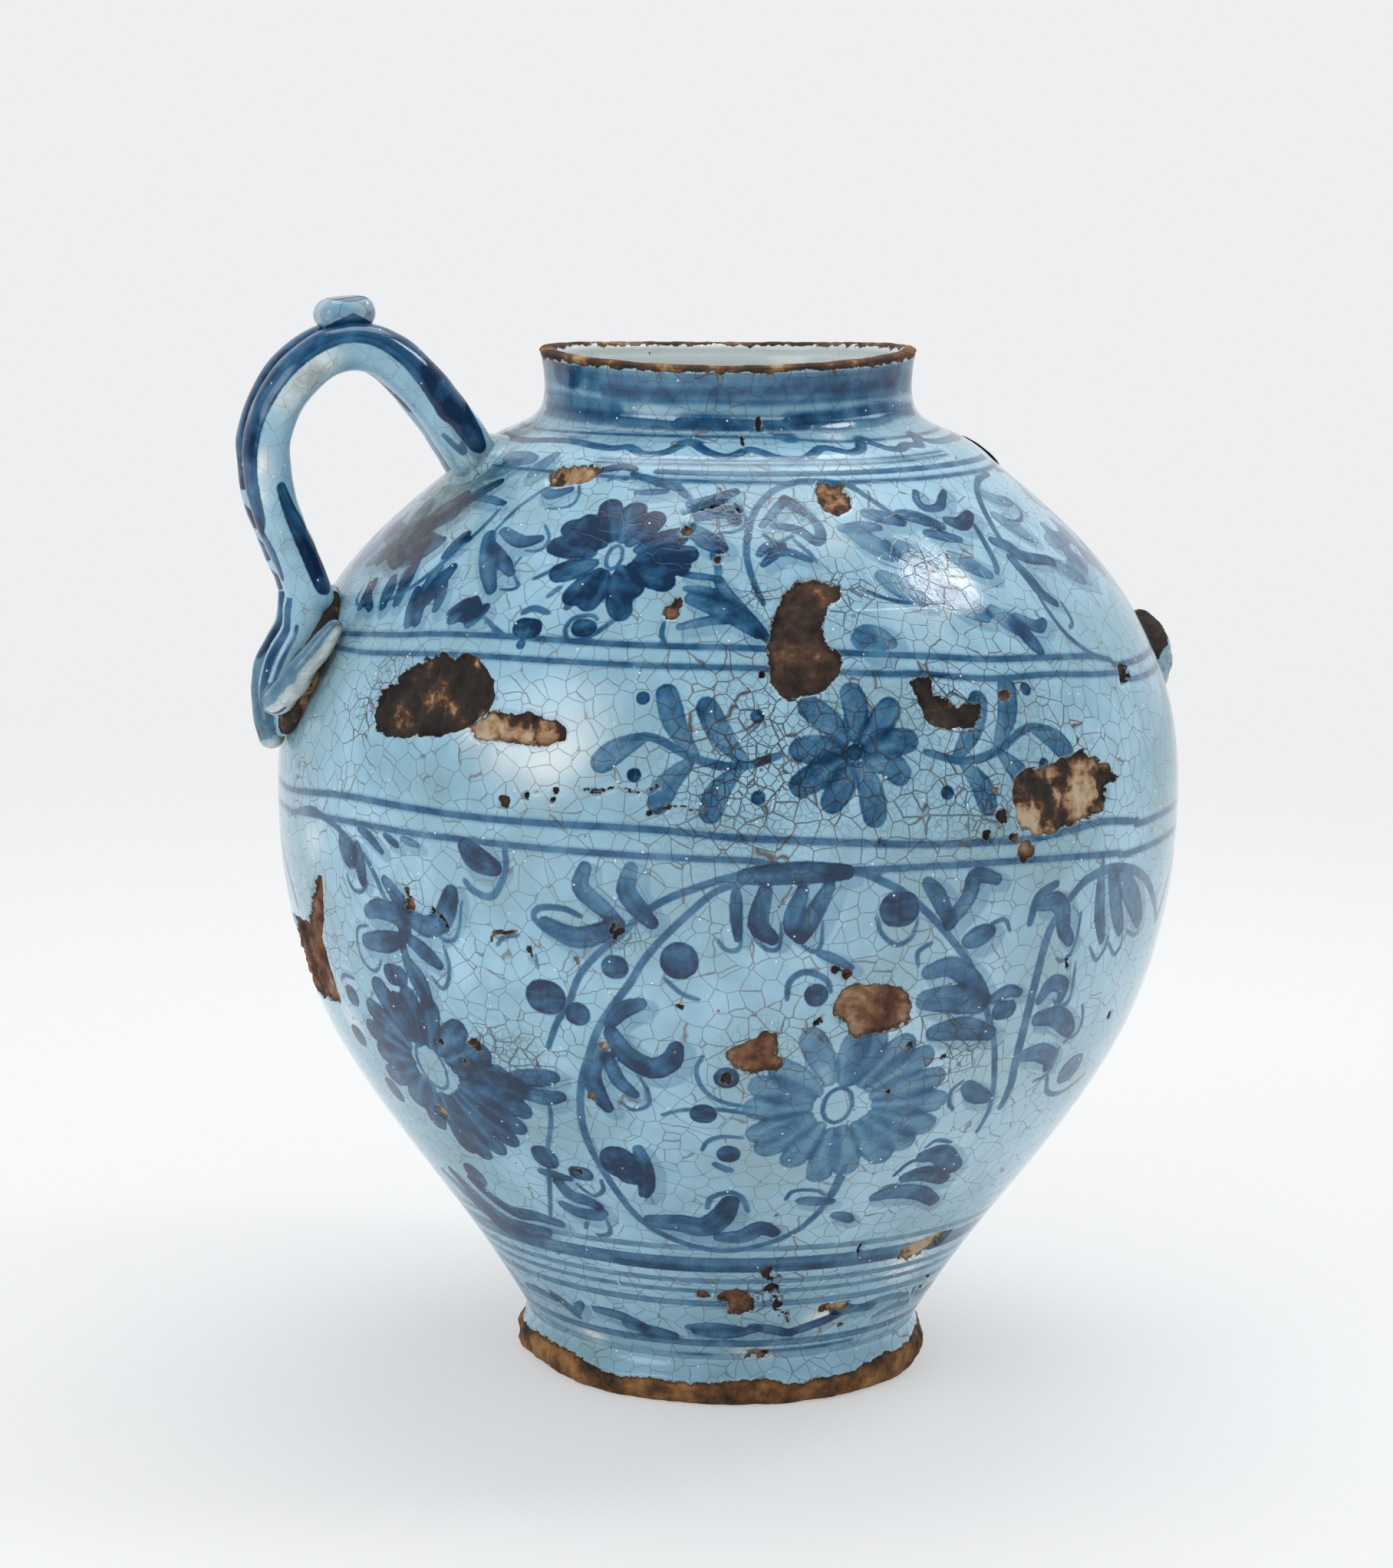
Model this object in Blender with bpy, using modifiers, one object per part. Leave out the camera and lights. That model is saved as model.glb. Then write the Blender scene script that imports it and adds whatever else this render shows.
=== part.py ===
"""A hand-thrown, tin-glazed storage jug with one whole strap handle and the scars of a second one.

The jug stands on Z = 0 with the foot's centre at the origin. The whole handle is on the -X side, and the lost
one's scars are opposite, on +X. The driving dimensions are in millimetres, and MM turns them into metres.
"""

import bisect
import math

import bmesh
import bpy
from mathutils import Matrix, Vector
from mathutils.geometry import interpolate_bezier

MM = 0.001

# Heights above the table. The neck and the shoulder are set down from the mouth.
MOUTH_HEIGHT = 301.0
NECK_WAIST_DROP = 10.5
NECK_JOINT_DROP = 19.7
SHOULDER_DROP = 30.5
NECK_WAIST_HEIGHT = MOUTH_HEIGHT - NECK_WAIST_DROP
NECK_JOINT_HEIGHT = MOUTH_HEIGHT - NECK_JOINT_DROP
SHOULDER_HEIGHT = MOUTH_HEIGHT - SHOULDER_DROP
BELLY_HEIGHT = 174.6
FOOT_HEIGHT = 13.5
FLANGE_HEIGHT = 6.0
LIP_HEIGHT = 4.5

# Outside radii. The neck and the shoulder follow the mouth, and the foot's parts follow its edge.
MOUTH_RADIUS = 55.0
NECK_TUCK = 1.5
SHOULDER_WIDTH = 21.3
NECK_RADIUS = MOUTH_RADIUS - NECK_TUCK
SHOULDER_RADIUS = MOUTH_RADIUS + SHOULDER_WIDTH
BELLY_RADIUS = 132.8
FOOT_EDGE_RADIUS = 57.5
FLANGE_WIDTH = 3.9
WAIST_STEP = 0.5
FLANGE_RADIUS = FOOT_EDGE_RADIUS + FLANGE_WIDTH
WAIST_RADIUS = FOOT_EDGE_RADIUS + WAIST_STEP

# How the outline bends: directions in degrees from the horizontal, and lengths of the curve's handles
WAIST_SLOPE = 60.5
WAIST_SPRING = 73.7
BELLY_DROP = 80.5
BELLY_RISE = 57.7
SHOULDER_SLOPE = 43.8
SHOULDER_SPRING = 21.3
NECK_SPRING = 14.9
NECK_DROP = 13.6
NECK_STRAIGHT = 3.5
LIP_SLOPE = 71.0
LIP_SPRING = 2.8
FOOT_TUCK = 3.0

# Walls
WALL_AT_FOOT = 8.0
WALL_AT_MOUTH = 5.4
FLOOR_THICKNESS = 9.0
FOOT_RING_WIDTH = 8.2
LIP_EDGE = 1.2
LIP_ROUND = 2.6
GAP = 0.3

# The whole handle: two clay rolls side by side, thickest where they leave the shoulder. Its arch rises a little
# above the mouth, reaches out past the belly and comes down on the shoulder wall.
ROLL_ROOT_RADIUS = 7.3
ROLL_RADIUS = 6.8
ROLL_END_RADIUS = 6.7
HANDLE_ROOT_DROP = 0.5
HANDLE_TOP_RISE = 2.9
HANDLE_TOP_OUT = 34.5
HANDLE_REACH = 4.1
HANDLE_REACH_DROP = 30.9
HANDLE_FOOT_RISE = 52.6
HANDLE_ROOT_HEIGHT = SHOULDER_HEIGHT - HANDLE_ROOT_DROP
HANDLE_TOP_HEIGHT = MOUTH_HEIGHT + HANDLE_TOP_RISE
HANDLE_REACH_HEIGHT = HANDLE_TOP_HEIGHT - HANDLE_REACH_DROP
HANDLE_FOOT_HEIGHT = BELLY_HEIGHT + HANDLE_FOOT_RISE
HANDLE_FOOT_PROUD = 8.0
BURIED_LENGTH = 9.0
ROOT_WAY = Vector((-0.52, 0.0, 0.85)).normalized()
FOOT_WAY = Vector((0.3, 0.0, -1.0)).normalized()

# How strongly each end of a stretch keeps its direction, as a share of the height that the stretch spans
ROOT_PULL = 0.58
TOP_PULL_IN = 0.40
TOP_PULL_OUT = 0.35
REACH_PULL_UP = 0.50
REACH_PULL_DOWN = 0.36
FOOT_PULL = 0.36
CURL_PULL = 3.0

# The rolls' ends below the foot: across from the roll's middle, down from its foot and proud of the wall,
# and the radius as a share of the roll's
NEAR_CURL = (
    (0.0, 7.5, 5.6, 0.94),
    (-0.4, 14.0, 6.4, 0.89),
    (-0.9, 20.0, 7.6, 0.79),
    (-3.4, 25.0, 8.4, 0.65),
    (-8.6, 26.4, 8.2, 0.57),
    (-13.4, 22.0, 7.2, 0.54),
    (-17.0, 15.5, 5.6, 0.51),
    (-19.4, 9.5, 4.4, 0.46),
    (-20.6, 3.5, 3.8, 0.43),
)
FAR_CURL = (
    (0.0, 7.5, 5.6, 0.94),
    (0.0, 14.0, 6.4, 0.92),
    (-0.6, 22.0, 7.4, 0.83),
    (-3.0, 30.0, 6.2, 0.71),
    (-6.0, 38.0, 4.4, 0.55),
)

KNOB_LENGTH = 16.3
KNOB_WIDTH = 16.5
KNOB_RISE = 6.8
KNOB_SLOPE = 6.0
KNOB_ROUND = 4.6
KNOB_SINK = 2.5
KNOB_OUT = 1.5

# The clay pressed on where the handle meets the wall: half sizes across, along and out from the wall
UPPER_LUTING = (19.0, 12.5, 8.0)
LOWER_LUTING = (25.0, 24.0, 6.5)
LOWER_LUTING_DROP = 19.2
LOWER_LUTING_SHIFT = -3.0

# The lost handle's remains, level with the whole one's two ends
STUB_SIZE = (15.0, 14.5, 9.8)
STUB_DROP = 17.2
STUB_HEIGHT = HANDLE_FOOT_HEIGHT - STUB_DROP
STUB_BREAK_TILT = 25.0
STUB_BREAK_RISE = 9.5
SCAR_SIZE = (16.0, 11.0, 2.2)
SCAR_HEIGHT = HANDLE_ROOT_HEIGHT

# The thrown pot leans a little towards the handle, and its top dips that way: offsets, and angles in degrees,
# at the table and after each third of the height
LEAN = (0.0, 1.35, 1.9, 5.0)
DIP = (0.0, 0.0, 0.4, 1.2)

# Faceting
TURN_STEPS = 60
OUTLINE_STEP = 18.0
OUTLINE_COUNT = 60
LIP_COUNT = 9
FOOT_COUNT = 4
ROUND_TURNS = (0.0, 45.0, 90.0)
TUBE_BEVEL_RESOLUTION = 4
TUBE_STEPS = 6
BALL_SEGMENTS = 24
BALL_RINGS = 12
KNOB_SEGMENTS = 3
SHARP_ANGLE = 40.0
SLOPE_STEP = 0.5
CUT_BLOCK = 60.0
WELD = 0.01

# Colours
GLAZE = (0.30, 0.48, 0.58, 1.0)
GLAZE_DARK = (0.09, 0.20, 0.36, 1.0)
BARE_CLAY = (0.24, 0.14, 0.08, 1.0)
OLD_BREAK = (0.12, 0.10, 0.08, 1.0)


def clear_scene():
    for obj in list(bpy.data.objects):
        bpy.data.objects.remove(obj, do_unlink=True)


def new_collection(name):
    collection = bpy.data.collections.new(name)
    bpy.context.scene.collection.children.link(collection)
    return collection


def ceramic(name, colour, roughness):
    material = bpy.data.materials.new(name)
    material.use_nodes = True
    shader = material.node_tree.nodes["Principled BSDF"]
    shader.inputs["Base Color"].default_value = colour
    shader.inputs["Roughness"].default_value = roughness
    shader.inputs["Metallic"].default_value = 0.0
    material.diffuse_color = colour
    return material


def run(start, start_handle, end_handle, end, count):
    """Points of one Bezier run in the (radius, height) plane."""
    corners = [Vector((*point, 0.0)) for point in (start, start_handle, end_handle, end)]
    return [(p.x, p.y) for p in interpolate_bezier(*corners, count)]


def heading(slope):
    """Unit vector (radial, up) at an angle in degrees above the horizontal."""
    return Vector((math.cos(math.radians(slope)), math.sin(math.radians(slope))))


def foot_outline():
    """From the edge of the underside, round the flange, up to the waist."""
    edge = (FOOT_EDGE_RADIUS, 0.0)
    flange = (FLANGE_RADIUS, FLANGE_HEIGHT)
    waist = (WAIST_RADIUS, FOOT_HEIGHT)
    below = (FLANGE_RADIUS, FLANGE_HEIGHT - FOOT_TUCK)
    above = (FLANGE_RADIUS, FLANGE_HEIGHT + FOOT_TUCK)
    lower = run(edge, (FLANGE_RADIUS, 0.0), below, flange, FOOT_COUNT)
    upper = run(flange, above, (WAIST_RADIUS, FOOT_HEIGHT - FOOT_TUCK), waist, FOOT_COUNT)
    return lower + upper[1:]


def wall_outline():
    """The outside from the foot's waist over the belly and the shoulder to the mouth."""
    waist = Vector((WAIST_RADIUS, FOOT_HEIGHT))
    belly = Vector((BELLY_RADIUS, BELLY_HEIGHT))
    shoulder = Vector((SHOULDER_RADIUS, SHOULDER_HEIGHT))
    neck = Vector((NECK_RADIUS, NECK_WAIST_HEIGHT))
    mouth = Vector((MOUTH_RADIUS, MOUTH_HEIGHT))
    up = Vector((0.0, 1.0))
    fall = heading(-SHOULDER_SLOPE)
    points = run(waist, waist + WAIST_SPRING * heading(WAIST_SLOPE), belly - BELLY_DROP * up, belly, OUTLINE_COUNT)
    points += run(belly, belly + BELLY_RISE * up, shoulder + SHOULDER_SPRING * fall, shoulder, OUTLINE_COUNT)[1:]
    points += run(shoulder, shoulder - NECK_SPRING * fall, neck - NECK_DROP * up, neck, OUTLINE_COUNT)[1:]
    lip_handle = mouth - LIP_SPRING * heading(LIP_SLOPE)
    return points + run(neck, neck + NECK_STRAIGHT * up, lip_handle, mouth, LIP_COUNT)[1:]


OUTLINE = wall_outline()
OUTLINE_HEIGHTS = [height for _, height in OUTLINE]


def wall_radius(height):
    """The wall's outside radius at a height."""
    after = min(max(bisect.bisect_left(OUTLINE_HEIGHTS, height), 1), len(OUTLINE) - 1)
    (r0, h0), (r1, h1) = OUTLINE[after - 1], OUTLINE[after]
    share = min(max((height - h0) / (h1 - h0), 0.0), 1.0)
    return r0 + share * (r1 - r0)


def wall_slope(height):
    """Unit vector (radial, up) that points straight out of the wall at a height."""
    rise = wall_radius(height + SLOPE_STEP) - wall_radius(height - SLOPE_STEP)
    along = Vector((rise, 2.0 * SLOPE_STEP)).normalized()
    return Vector((along.y, -along.x))


def wall_thickness(height):
    share = (height - FOOT_HEIGHT) / (MOUTH_HEIGHT - FOOT_HEIGHT)
    return WALL_AT_FOOT + share * (WALL_AT_MOUTH - WALL_AT_FOOT)


def outside_between(low, high):
    """Points up the outside from one height to another, evenly spaced along it."""
    points = [(wall_radius(low), low)]
    points += [(radius, height) for radius, height in OUTLINE if low < height < high]
    points.append((wall_radius(high), high))
    lengths = [0.0]
    for (r0, h0), (r1, h1) in zip(points, points[1:]):
        lengths.append(lengths[-1] + math.hypot(r1 - r0, h1 - h0))
    count = max(2, math.ceil(lengths[-1] / OUTLINE_STEP))
    even = []
    for i in range(count + 1):
        wanted = lengths[-1] * i / count
        after = min(max(bisect.bisect_left(lengths, wanted), 1), len(points) - 1)
        share = (wanted - lengths[after - 1]) / (lengths[after] - lengths[after - 1])
        even.append(tuple(a + share * (b - a) for a, b in zip(points[after - 1], points[after])))
    return even


def inside_of(outside):
    """The same points moved into the pot by the wall's thickness, with the end heights kept."""
    inner = []
    for i, (radius, height) in enumerate(outside):
        out = wall_slope(height)
        thick = wall_thickness(height)
        if i in (0, len(outside) - 1):
            inner.append((radius - thick / out.x, height))
        else:
            inner.append((radius - thick * out.x, height - thick * out.y))
    return inner


def wall_pieces():
    """The outside of each thrown piece of the wall, from the bottom up. A gap parts each from the next."""
    joints = [FOOT_HEIGHT, BELLY_HEIGHT, NECK_JOINT_HEIGHT, MOUTH_HEIGHT - LIP_HEIGHT]
    names = ["lower_wall", "shoulder_wall", "neck_collar"]
    return {name: outside_between(low + GAP / 2.0, high - GAP / 2.0)
            for name, low, high in zip(names, joints, joints[1:])}


def turned(name, outline, collection, material, closed):
    """A Screw about Z. The outline runs down the outer side; a closed one joins its end to its start."""
    mesh = bpy.data.meshes.new(name)
    shape = bmesh.new()
    corners = [shape.verts.new((radius * MM, 0.0, height * MM)) for radius, height in outline]
    for first, second in zip(corners, corners[1:]):
        shape.edges.new((first, second))
    if closed:
        shape.edges.new((corners[-1], corners[0]))
    shape.to_mesh(mesh)
    shape.free()
    obj = bpy.data.objects.new(name, mesh)
    collection.objects.link(obj)
    if material:
        mesh.materials.append(material)
    screw = obj.modifiers.new("turn", "SCREW")
    screw.steps = TURN_STEPS
    screw.render_steps = TURN_STEPS
    screw.use_merge_vertices = True
    screw.merge_threshold = 0.0001
    screw.use_smooth_shade = True
    return obj


def mesh_object(name, mesh, collection, material):
    obj = bpy.data.objects.new(name, mesh)
    collection.objects.link(obj)
    if material:
        mesh.materials.append(material)
        mesh.shade_smooth()
        mesh.set_sharp_from_angle(angle=math.radians(SHARP_ANGLE))
    return obj


def mesh_from(name, shape):
    mesh = bpy.data.meshes.new(name)
    shape.to_mesh(mesh)
    shape.free()
    return mesh


def as_cutter(obj):
    obj.hide_render = True
    obj.display_type = "WIRE"
    return obj


def face_outwards(shape):
    bmesh.ops.recalc_face_normals(shape, faces=shape.faces)
    if shape.calc_volume(signed=True) < 0.0:
        bmesh.ops.reverse_faces(shape, faces=shape.faces)


def cut(obj, *cutters):
    for cutter in cutters:
        boolean = obj.modifiers.new("cut by " + cutter.name, "BOOLEAN")
        boolean.operation = "DIFFERENCE"
        boolean.object = cutter
    return obj


def tube_mesh(name, knots, grow=0.0):
    """A mesh of a round tube. A knot is (point, radius) or (point, radius, handle before, handle after), in mm."""
    data = bpy.data.curves.new(name, "CURVE")
    data.dimensions = "3D"
    data.bevel_depth = MM
    data.bevel_resolution = TUBE_BEVEL_RESOLUTION
    data.use_fill_caps = True
    data.resolution_u = TUBE_STEPS
    spline = data.splines.new("BEZIER")
    spline.bezier_points.add(len(knots) - 1)
    for bezier_point, (point, radius, *handles) in zip(spline.bezier_points, knots):
        bezier_point.co = point * MM
        bezier_point.radius = radius + grow
        if handles:
            bezier_point.handle_left_type = bezier_point.handle_right_type = "FREE"
            bezier_point.handle_left = handles[0] * MM
            bezier_point.handle_right = handles[1] * MM
        else:
            bezier_point.handle_left_type = bezier_point.handle_right_type = "AUTO"
    curve = bpy.data.objects.new(name, data)
    bpy.context.scene.collection.objects.link(curve)
    bpy.context.view_layer.update()
    mesh = bpy.data.meshes.new_from_object(curve.evaluated_get(bpy.context.evaluated_depsgraph_get()))
    bpy.data.objects.remove(curve)
    bpy.data.curves.remove(data)
    shape = bmesh.new()
    shape.from_mesh(mesh)
    bpy.data.meshes.remove(mesh)
    bmesh.ops.remove_doubles(shape, verts=shape.verts, dist=WELD * MM)
    face_outwards(shape)
    return mesh_from(name, shape)


def on_handle_side(across, height, proud):
    """A point off the wall on the handle's side. Across is measured towards +Y, the far side from the front."""
    out = wall_slope(height)
    radius = wall_radius(height) + proud * out.x
    return Vector((-math.sqrt(radius * radius - across * across), across, height + proud * out.y))


def roll_across(side, radius):
    """How far a roll's middle lies from the handle's own middle, so that the two rolls don't touch."""
    return side * (radius + GAP / 2.0)


def roll_foot(side):
    """The middle of a roll's lower end, where its curl takes over."""
    return on_handle_side(roll_across(side, ROLL_END_RADIUS), HANDLE_FOOT_HEIGHT, HANDLE_FOOT_PROUD)


def arch_top(across):
    """The middle of a roll at the top of the arch."""
    root = on_handle_side(0.0, HANDLE_ROOT_HEIGHT, 0.0)
    return Vector((root.x - HANDLE_TOP_OUT, across, HANDLE_TOP_HEIGHT))


def roll_knots(side):
    """One roll of the handle, from inside the shoulder over the top and down to the wall. Side is -1 or 1."""
    root = on_handle_side(roll_across(side, ROLL_ROOT_RADIUS), HANDLE_ROOT_HEIGHT, 0.0)
    top = arch_top(roll_across(side, ROLL_RADIUS))
    foot = roll_foot(side)
    reach = Vector((-BELLY_RADIUS - HANDLE_REACH, foot.y, HANDLE_REACH_HEIGHT))
    back = Vector((-1.0, 0.0, 0.0))
    up = Vector((0.0, 0.0, 1.0))
    buried = root - BURIED_LENGTH * ROOT_WAY
    rise = HANDLE_TOP_HEIGHT - HANDLE_ROOT_HEIGHT
    drop = HANDLE_TOP_HEIGHT - HANDLE_REACH_HEIGHT
    leg = HANDLE_REACH_HEIGHT - HANDLE_FOOT_HEIGHT
    return [
        (buried, ROLL_ROOT_RADIUS, buried - ROOT_WAY, buried + BURIED_LENGTH / 3.0 * ROOT_WAY),
        (root, ROLL_ROOT_RADIUS, root - BURIED_LENGTH / 3.0 * ROOT_WAY, root + ROOT_PULL * rise * ROOT_WAY),
        (top, ROLL_RADIUS, top - TOP_PULL_IN * rise * back, top + TOP_PULL_OUT * rise * back),
        (reach, ROLL_END_RADIUS, reach + REACH_PULL_UP * drop * up, reach - REACH_PULL_DOWN * leg * up),
        (foot, ROLL_END_RADIUS, foot - FOOT_PULL * leg * FOOT_WAY, foot + FOOT_WAY),
    ]


def curl_knots(side, stations):
    """A roll's end below its foot. It starts a gap away from the roll, face to face with it."""
    start = roll_foot(side) + GAP * FOOT_WAY
    knots = [(start, ROLL_END_RADIUS, start - FOOT_WAY, start + CURL_PULL * FOOT_WAY)]
    for across, down, proud, share in stations:
        middle = roll_across(side, ROLL_END_RADIUS) + across
        knots.append((on_handle_side(middle, HANDLE_FOOT_HEIGHT - down, proud), ROLL_END_RADIUS * share))
    return knots


def lump_mesh(name, size, height, side_of_x, shift=0.0):
    """A squashed ball of clay with its centre on the wall: half sizes across, along and out from the wall."""
    across, along, out = size
    slope = wall_slope(height)
    normal = Vector((side_of_x * slope.x, 0.0, slope.y))
    upward = Vector((-side_of_x * slope.y, 0.0, slope.x))
    centre = Vector((side_of_x * wall_radius(height), shift, height))
    shape = bmesh.new()
    bmesh.ops.create_uvsphere(shape, u_segments=BALL_SEGMENTS, v_segments=BALL_RINGS, radius=1.0)
    for vert in shape.verts:
        x, y, z = vert.co
        vert.co = (centre + x * out * normal + y * across * Vector((0.0, 1.0, 0.0)) + z * along * upward) * MM
    face_outwards(shape)
    return mesh_from(name, shape)


def build_pot(parts, materials):
    floor_radius = FOOT_EDGE_RADIUS - FOOT_RING_WIDTH - GAP
    floor = [(0.0, FLOOR_THICKNESS), (floor_radius, FLOOR_THICKNESS), (floor_radius, 0.0), (0.0, 0.0)]
    turned("base_disc", floor, parts, materials["clay"], closed=False)
    ring_inner = FOOT_EDGE_RADIUS - FOOT_RING_WIDTH
    ring_top = FOOT_HEIGHT - GAP / 2.0
    ring = [point for point in foot_outline() if point[1] < ring_top] + [(WAIST_RADIUS, ring_top)]
    turned("foot_ring", ring[::-1] + [(ring_inner, 0.0), (ring_inner, ring_top)], parts, materials["clay"],
           closed=True)
    for name, outside in wall_pieces().items():
        turned(name, outside[::-1] + inside_of(outside), parts, materials["glaze"], closed=True)


def build_lip(parts, material):
    """The flared lip: a tight edge outside, a rounder one inside."""
    low = MOUTH_HEIGHT - LIP_HEIGHT + GAP / 2.0
    inside = MOUTH_RADIUS - wall_thickness(MOUTH_HEIGHT)
    outside = outside_between(low, MOUTH_HEIGHT - LIP_EDGE)
    crown = []
    for middle, bend, start in ((inside + LIP_ROUND, LIP_ROUND, 180.0), (MOUTH_RADIUS - LIP_EDGE, LIP_EDGE, 90.0)):
        for turn in ROUND_TURNS:
            angle = math.radians(start - turn)
            crown.append((middle + bend * math.cos(angle), MOUTH_HEIGHT - bend + bend * math.sin(angle)))
    turned("lip_rim", crown[:-1] + outside[::-1] + [(inside, low)], parts, material, closed=True)


def build_wall_cutter(cutters):
    """The pot's outside grown by the gap, as one solid, to trim whatever is pressed on it."""
    outside = [point for piece in wall_pieces().values() for point in piece]
    grown = [(radius + GAP * wall_slope(height).x, height + GAP * wall_slope(height).y)
             for radius, height in outside]
    outline = [(0.0, grown[-1][1])] + grown[::-1] + [(0.0, grown[0][1])]
    return as_cutter(turned("wall_cutter", outline, cutters, None, closed=False))


def build_handle(parts, cutters, materials, wall_cutter):
    tubes = {
        "handle_near_roll": roll_knots(-1),
        "handle_far_roll": roll_knots(1),
        "handle_lower_curl_near": curl_knots(-1, NEAR_CURL),
        "handle_lower_curl_far": curl_knots(1, FAR_CURL),
    }
    grown = []
    for name, knots in tubes.items():
        cut(mesh_object(name, tube_mesh(name, knots), parts, materials["glaze"]), wall_cutter)
        cutter_name = name + "_cutter"
        grown.append(as_cutter(mesh_object(cutter_name, tube_mesh(cutter_name, knots, GAP), cutters, None)))
    groove_mesh = tube_mesh("groove_cutter", roll_knots(0), -ROLL_RADIUS / 2.0)
    groove = as_cutter(mesh_object("groove_cutter", groove_mesh, cutters, None))
    upper_mesh = lump_mesh("handle_upper_luting", UPPER_LUTING, HANDLE_ROOT_HEIGHT, -1)
    upper = mesh_object("handle_upper_luting", upper_mesh, parts, materials["glaze"])
    cut(upper, wall_cutter, *grown[:2], groove)
    lower_height = HANDLE_FOOT_HEIGHT - LOWER_LUTING_DROP
    lower_mesh = lump_mesh("handle_lower_luting", LOWER_LUTING, lower_height, -1, LOWER_LUTING_SHIFT)
    lower = mesh_object("handle_lower_luting", lower_mesh, parts, materials["clay"])
    cut(lower, wall_cutter, *grown, groove)
    build_knob(parts, materials["dark"], grown[:2])


def build_knob(parts, material, rolls):
    """A loaf of clay that sits in the groove between the rolls, at the top of the arch."""
    depth = KNOB_RISE + KNOB_SINK
    crown = HANDLE_TOP_HEIGHT + ROLL_RADIUS
    centre = Vector((arch_top(0.0).x - KNOB_OUT, 0.0, crown + KNOB_RISE - depth / 2.0))
    shape = bmesh.new()
    bmesh.ops.create_cube(shape, size=MM)
    bmesh.ops.scale(shape, verts=shape.verts, vec=Vector((KNOB_LENGTH, KNOB_WIDTH, depth)))
    bmesh.ops.bevel(shape, geom=shape.edges[:], offset=KNOB_ROUND * MM, offset_type="OFFSET",
                    segments=KNOB_SEGMENTS, profile=0.5, affect="EDGES", material=-1)
    slope = Matrix.Rotation(-math.radians(KNOB_SLOPE), 3, "Y")
    bmesh.ops.rotate(shape, verts=shape.verts, cent=(0.0, 0.0, 0.0), matrix=slope)
    bmesh.ops.translate(shape, verts=shape.verts, vec=centre * MM)
    cut(mesh_object("thumb_knob", mesh_from("thumb_knob", shape), parts, material), *rolls)


def build_lost_handle(parts, cutters, material, wall_cutter):
    """The broken root of the second handle, and the low scar where its top was joined."""
    tilt = math.radians(STUB_BREAK_TILT)
    lift = (STUB_BREAK_RISE + CUT_BLOCK / 2.0) * Vector((-math.sin(tilt), 0.0, math.cos(tilt)))
    centre = Vector((wall_radius(STUB_HEIGHT), 0.0, STUB_HEIGHT)) + lift
    block = bmesh.new()
    bmesh.ops.create_cube(block, size=CUT_BLOCK * MM)
    bmesh.ops.rotate(block, verts=block.verts, cent=(0.0, 0.0, 0.0), matrix=Matrix.Rotation(-tilt, 3, "Y"))
    bmesh.ops.translate(block, verts=block.verts, vec=centre * MM)
    break_plane = as_cutter(mesh_object("break_plane", mesh_from("break_plane", block), cutters, None))
    stub_mesh = lump_mesh("lost_handle_lower_stub", STUB_SIZE, STUB_HEIGHT, 1)
    cut(mesh_object("lost_handle_lower_stub", stub_mesh, parts, material), break_plane, wall_cutter)
    scar_mesh = lump_mesh("lost_handle_upper_scar", SCAR_SIZE, SCAR_HEIGHT, 1)
    cut(mesh_object("lost_handle_upper_scar", scar_mesh, parts, material), wall_cutter)


def lean_everything(parts, guides):
    """A lattice as tall as the pot, whose upper layers are slid and dipped towards the handle."""
    data = bpy.data.lattices.new("lean")
    data.points_u = data.points_v = 2
    data.points_w = len(LEAN)
    data.interpolation_type_u = data.interpolation_type_v = data.interpolation_type_w = "KEY_LINEAR"
    cage = bpy.data.objects.new("lean", data)
    guides.objects.link(cage)
    rest = [point.co.copy() for point in data.points]
    half_width = max(point.x for point in rest)
    half_height = max(point.z for point in rest)
    cage_width = 2.0 * (BELLY_RADIUS + HANDLE_REACH) * MM
    cage.scale = (cage_width / half_width, cage_width / half_width, MOUTH_HEIGHT * MM / (2.0 * half_height))
    cage.location = (0.0, 0.0, MOUTH_HEIGHT * MM / 2.0)
    for point, start in zip(data.points, rest):
        layer = round((start.z + half_height) / (2.0 * half_height) * (len(LEAN) - 1))
        dip = start.x * cage.scale.x * math.tan(math.radians(DIP[layer]))
        point.co_deform.x = start.x - LEAN[layer] * MM / cage.scale.x
        point.co_deform.z = start.z + dip / cage.scale.z
    for obj in parts.objects:
        obj.modifiers.new("lean", "LATTICE").object = cage


def main():
    clear_scene()
    parts = new_collection("two_handled_jug")
    cutters = new_collection("cutters")
    guides = new_collection("guides")
    materials = {
        "glaze": ceramic("blue_tin_glaze", GLAZE, 0.15),
        "dark": ceramic("cobalt_painted_glaze", GLAZE_DARK, 0.15),
        "clay": ceramic("bare_fired_clay", BARE_CLAY, 0.85),
        "broken": ceramic("old_break", OLD_BREAK, 0.7),
    }
    build_pot(parts, materials)
    build_lip(parts, materials["clay"])
    wall_cutter = build_wall_cutter(cutters)
    build_handle(parts, cutters, materials, wall_cutter)
    build_lost_handle(parts, cutters, materials["broken"], wall_cutter)
    lean_everything(parts, guides)


main()
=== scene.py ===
# %% [markdown]
# # A tin-glazed storage jug
# The jug is one fired object: a pot thrown on the wheel in a few pieces, a handle of two clay rolls luted on at the
# left, and the broken root of a second handle at the right. It was dipped in light blue tin glaze and painted with
# a brush in cobalt before it was fired. This notebook keeps the measured solids of the part as its frame, and
# builds the visible surface over each of them: the relief of chips and brown clay as real mesh, and the glaze as
# node materials that read distances stored on the mesh.

# %% Load the frame
import math
from functools import partial

import bmesh
import bpy
import numpy as np
from mathutils import Matrix, Vector


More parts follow.
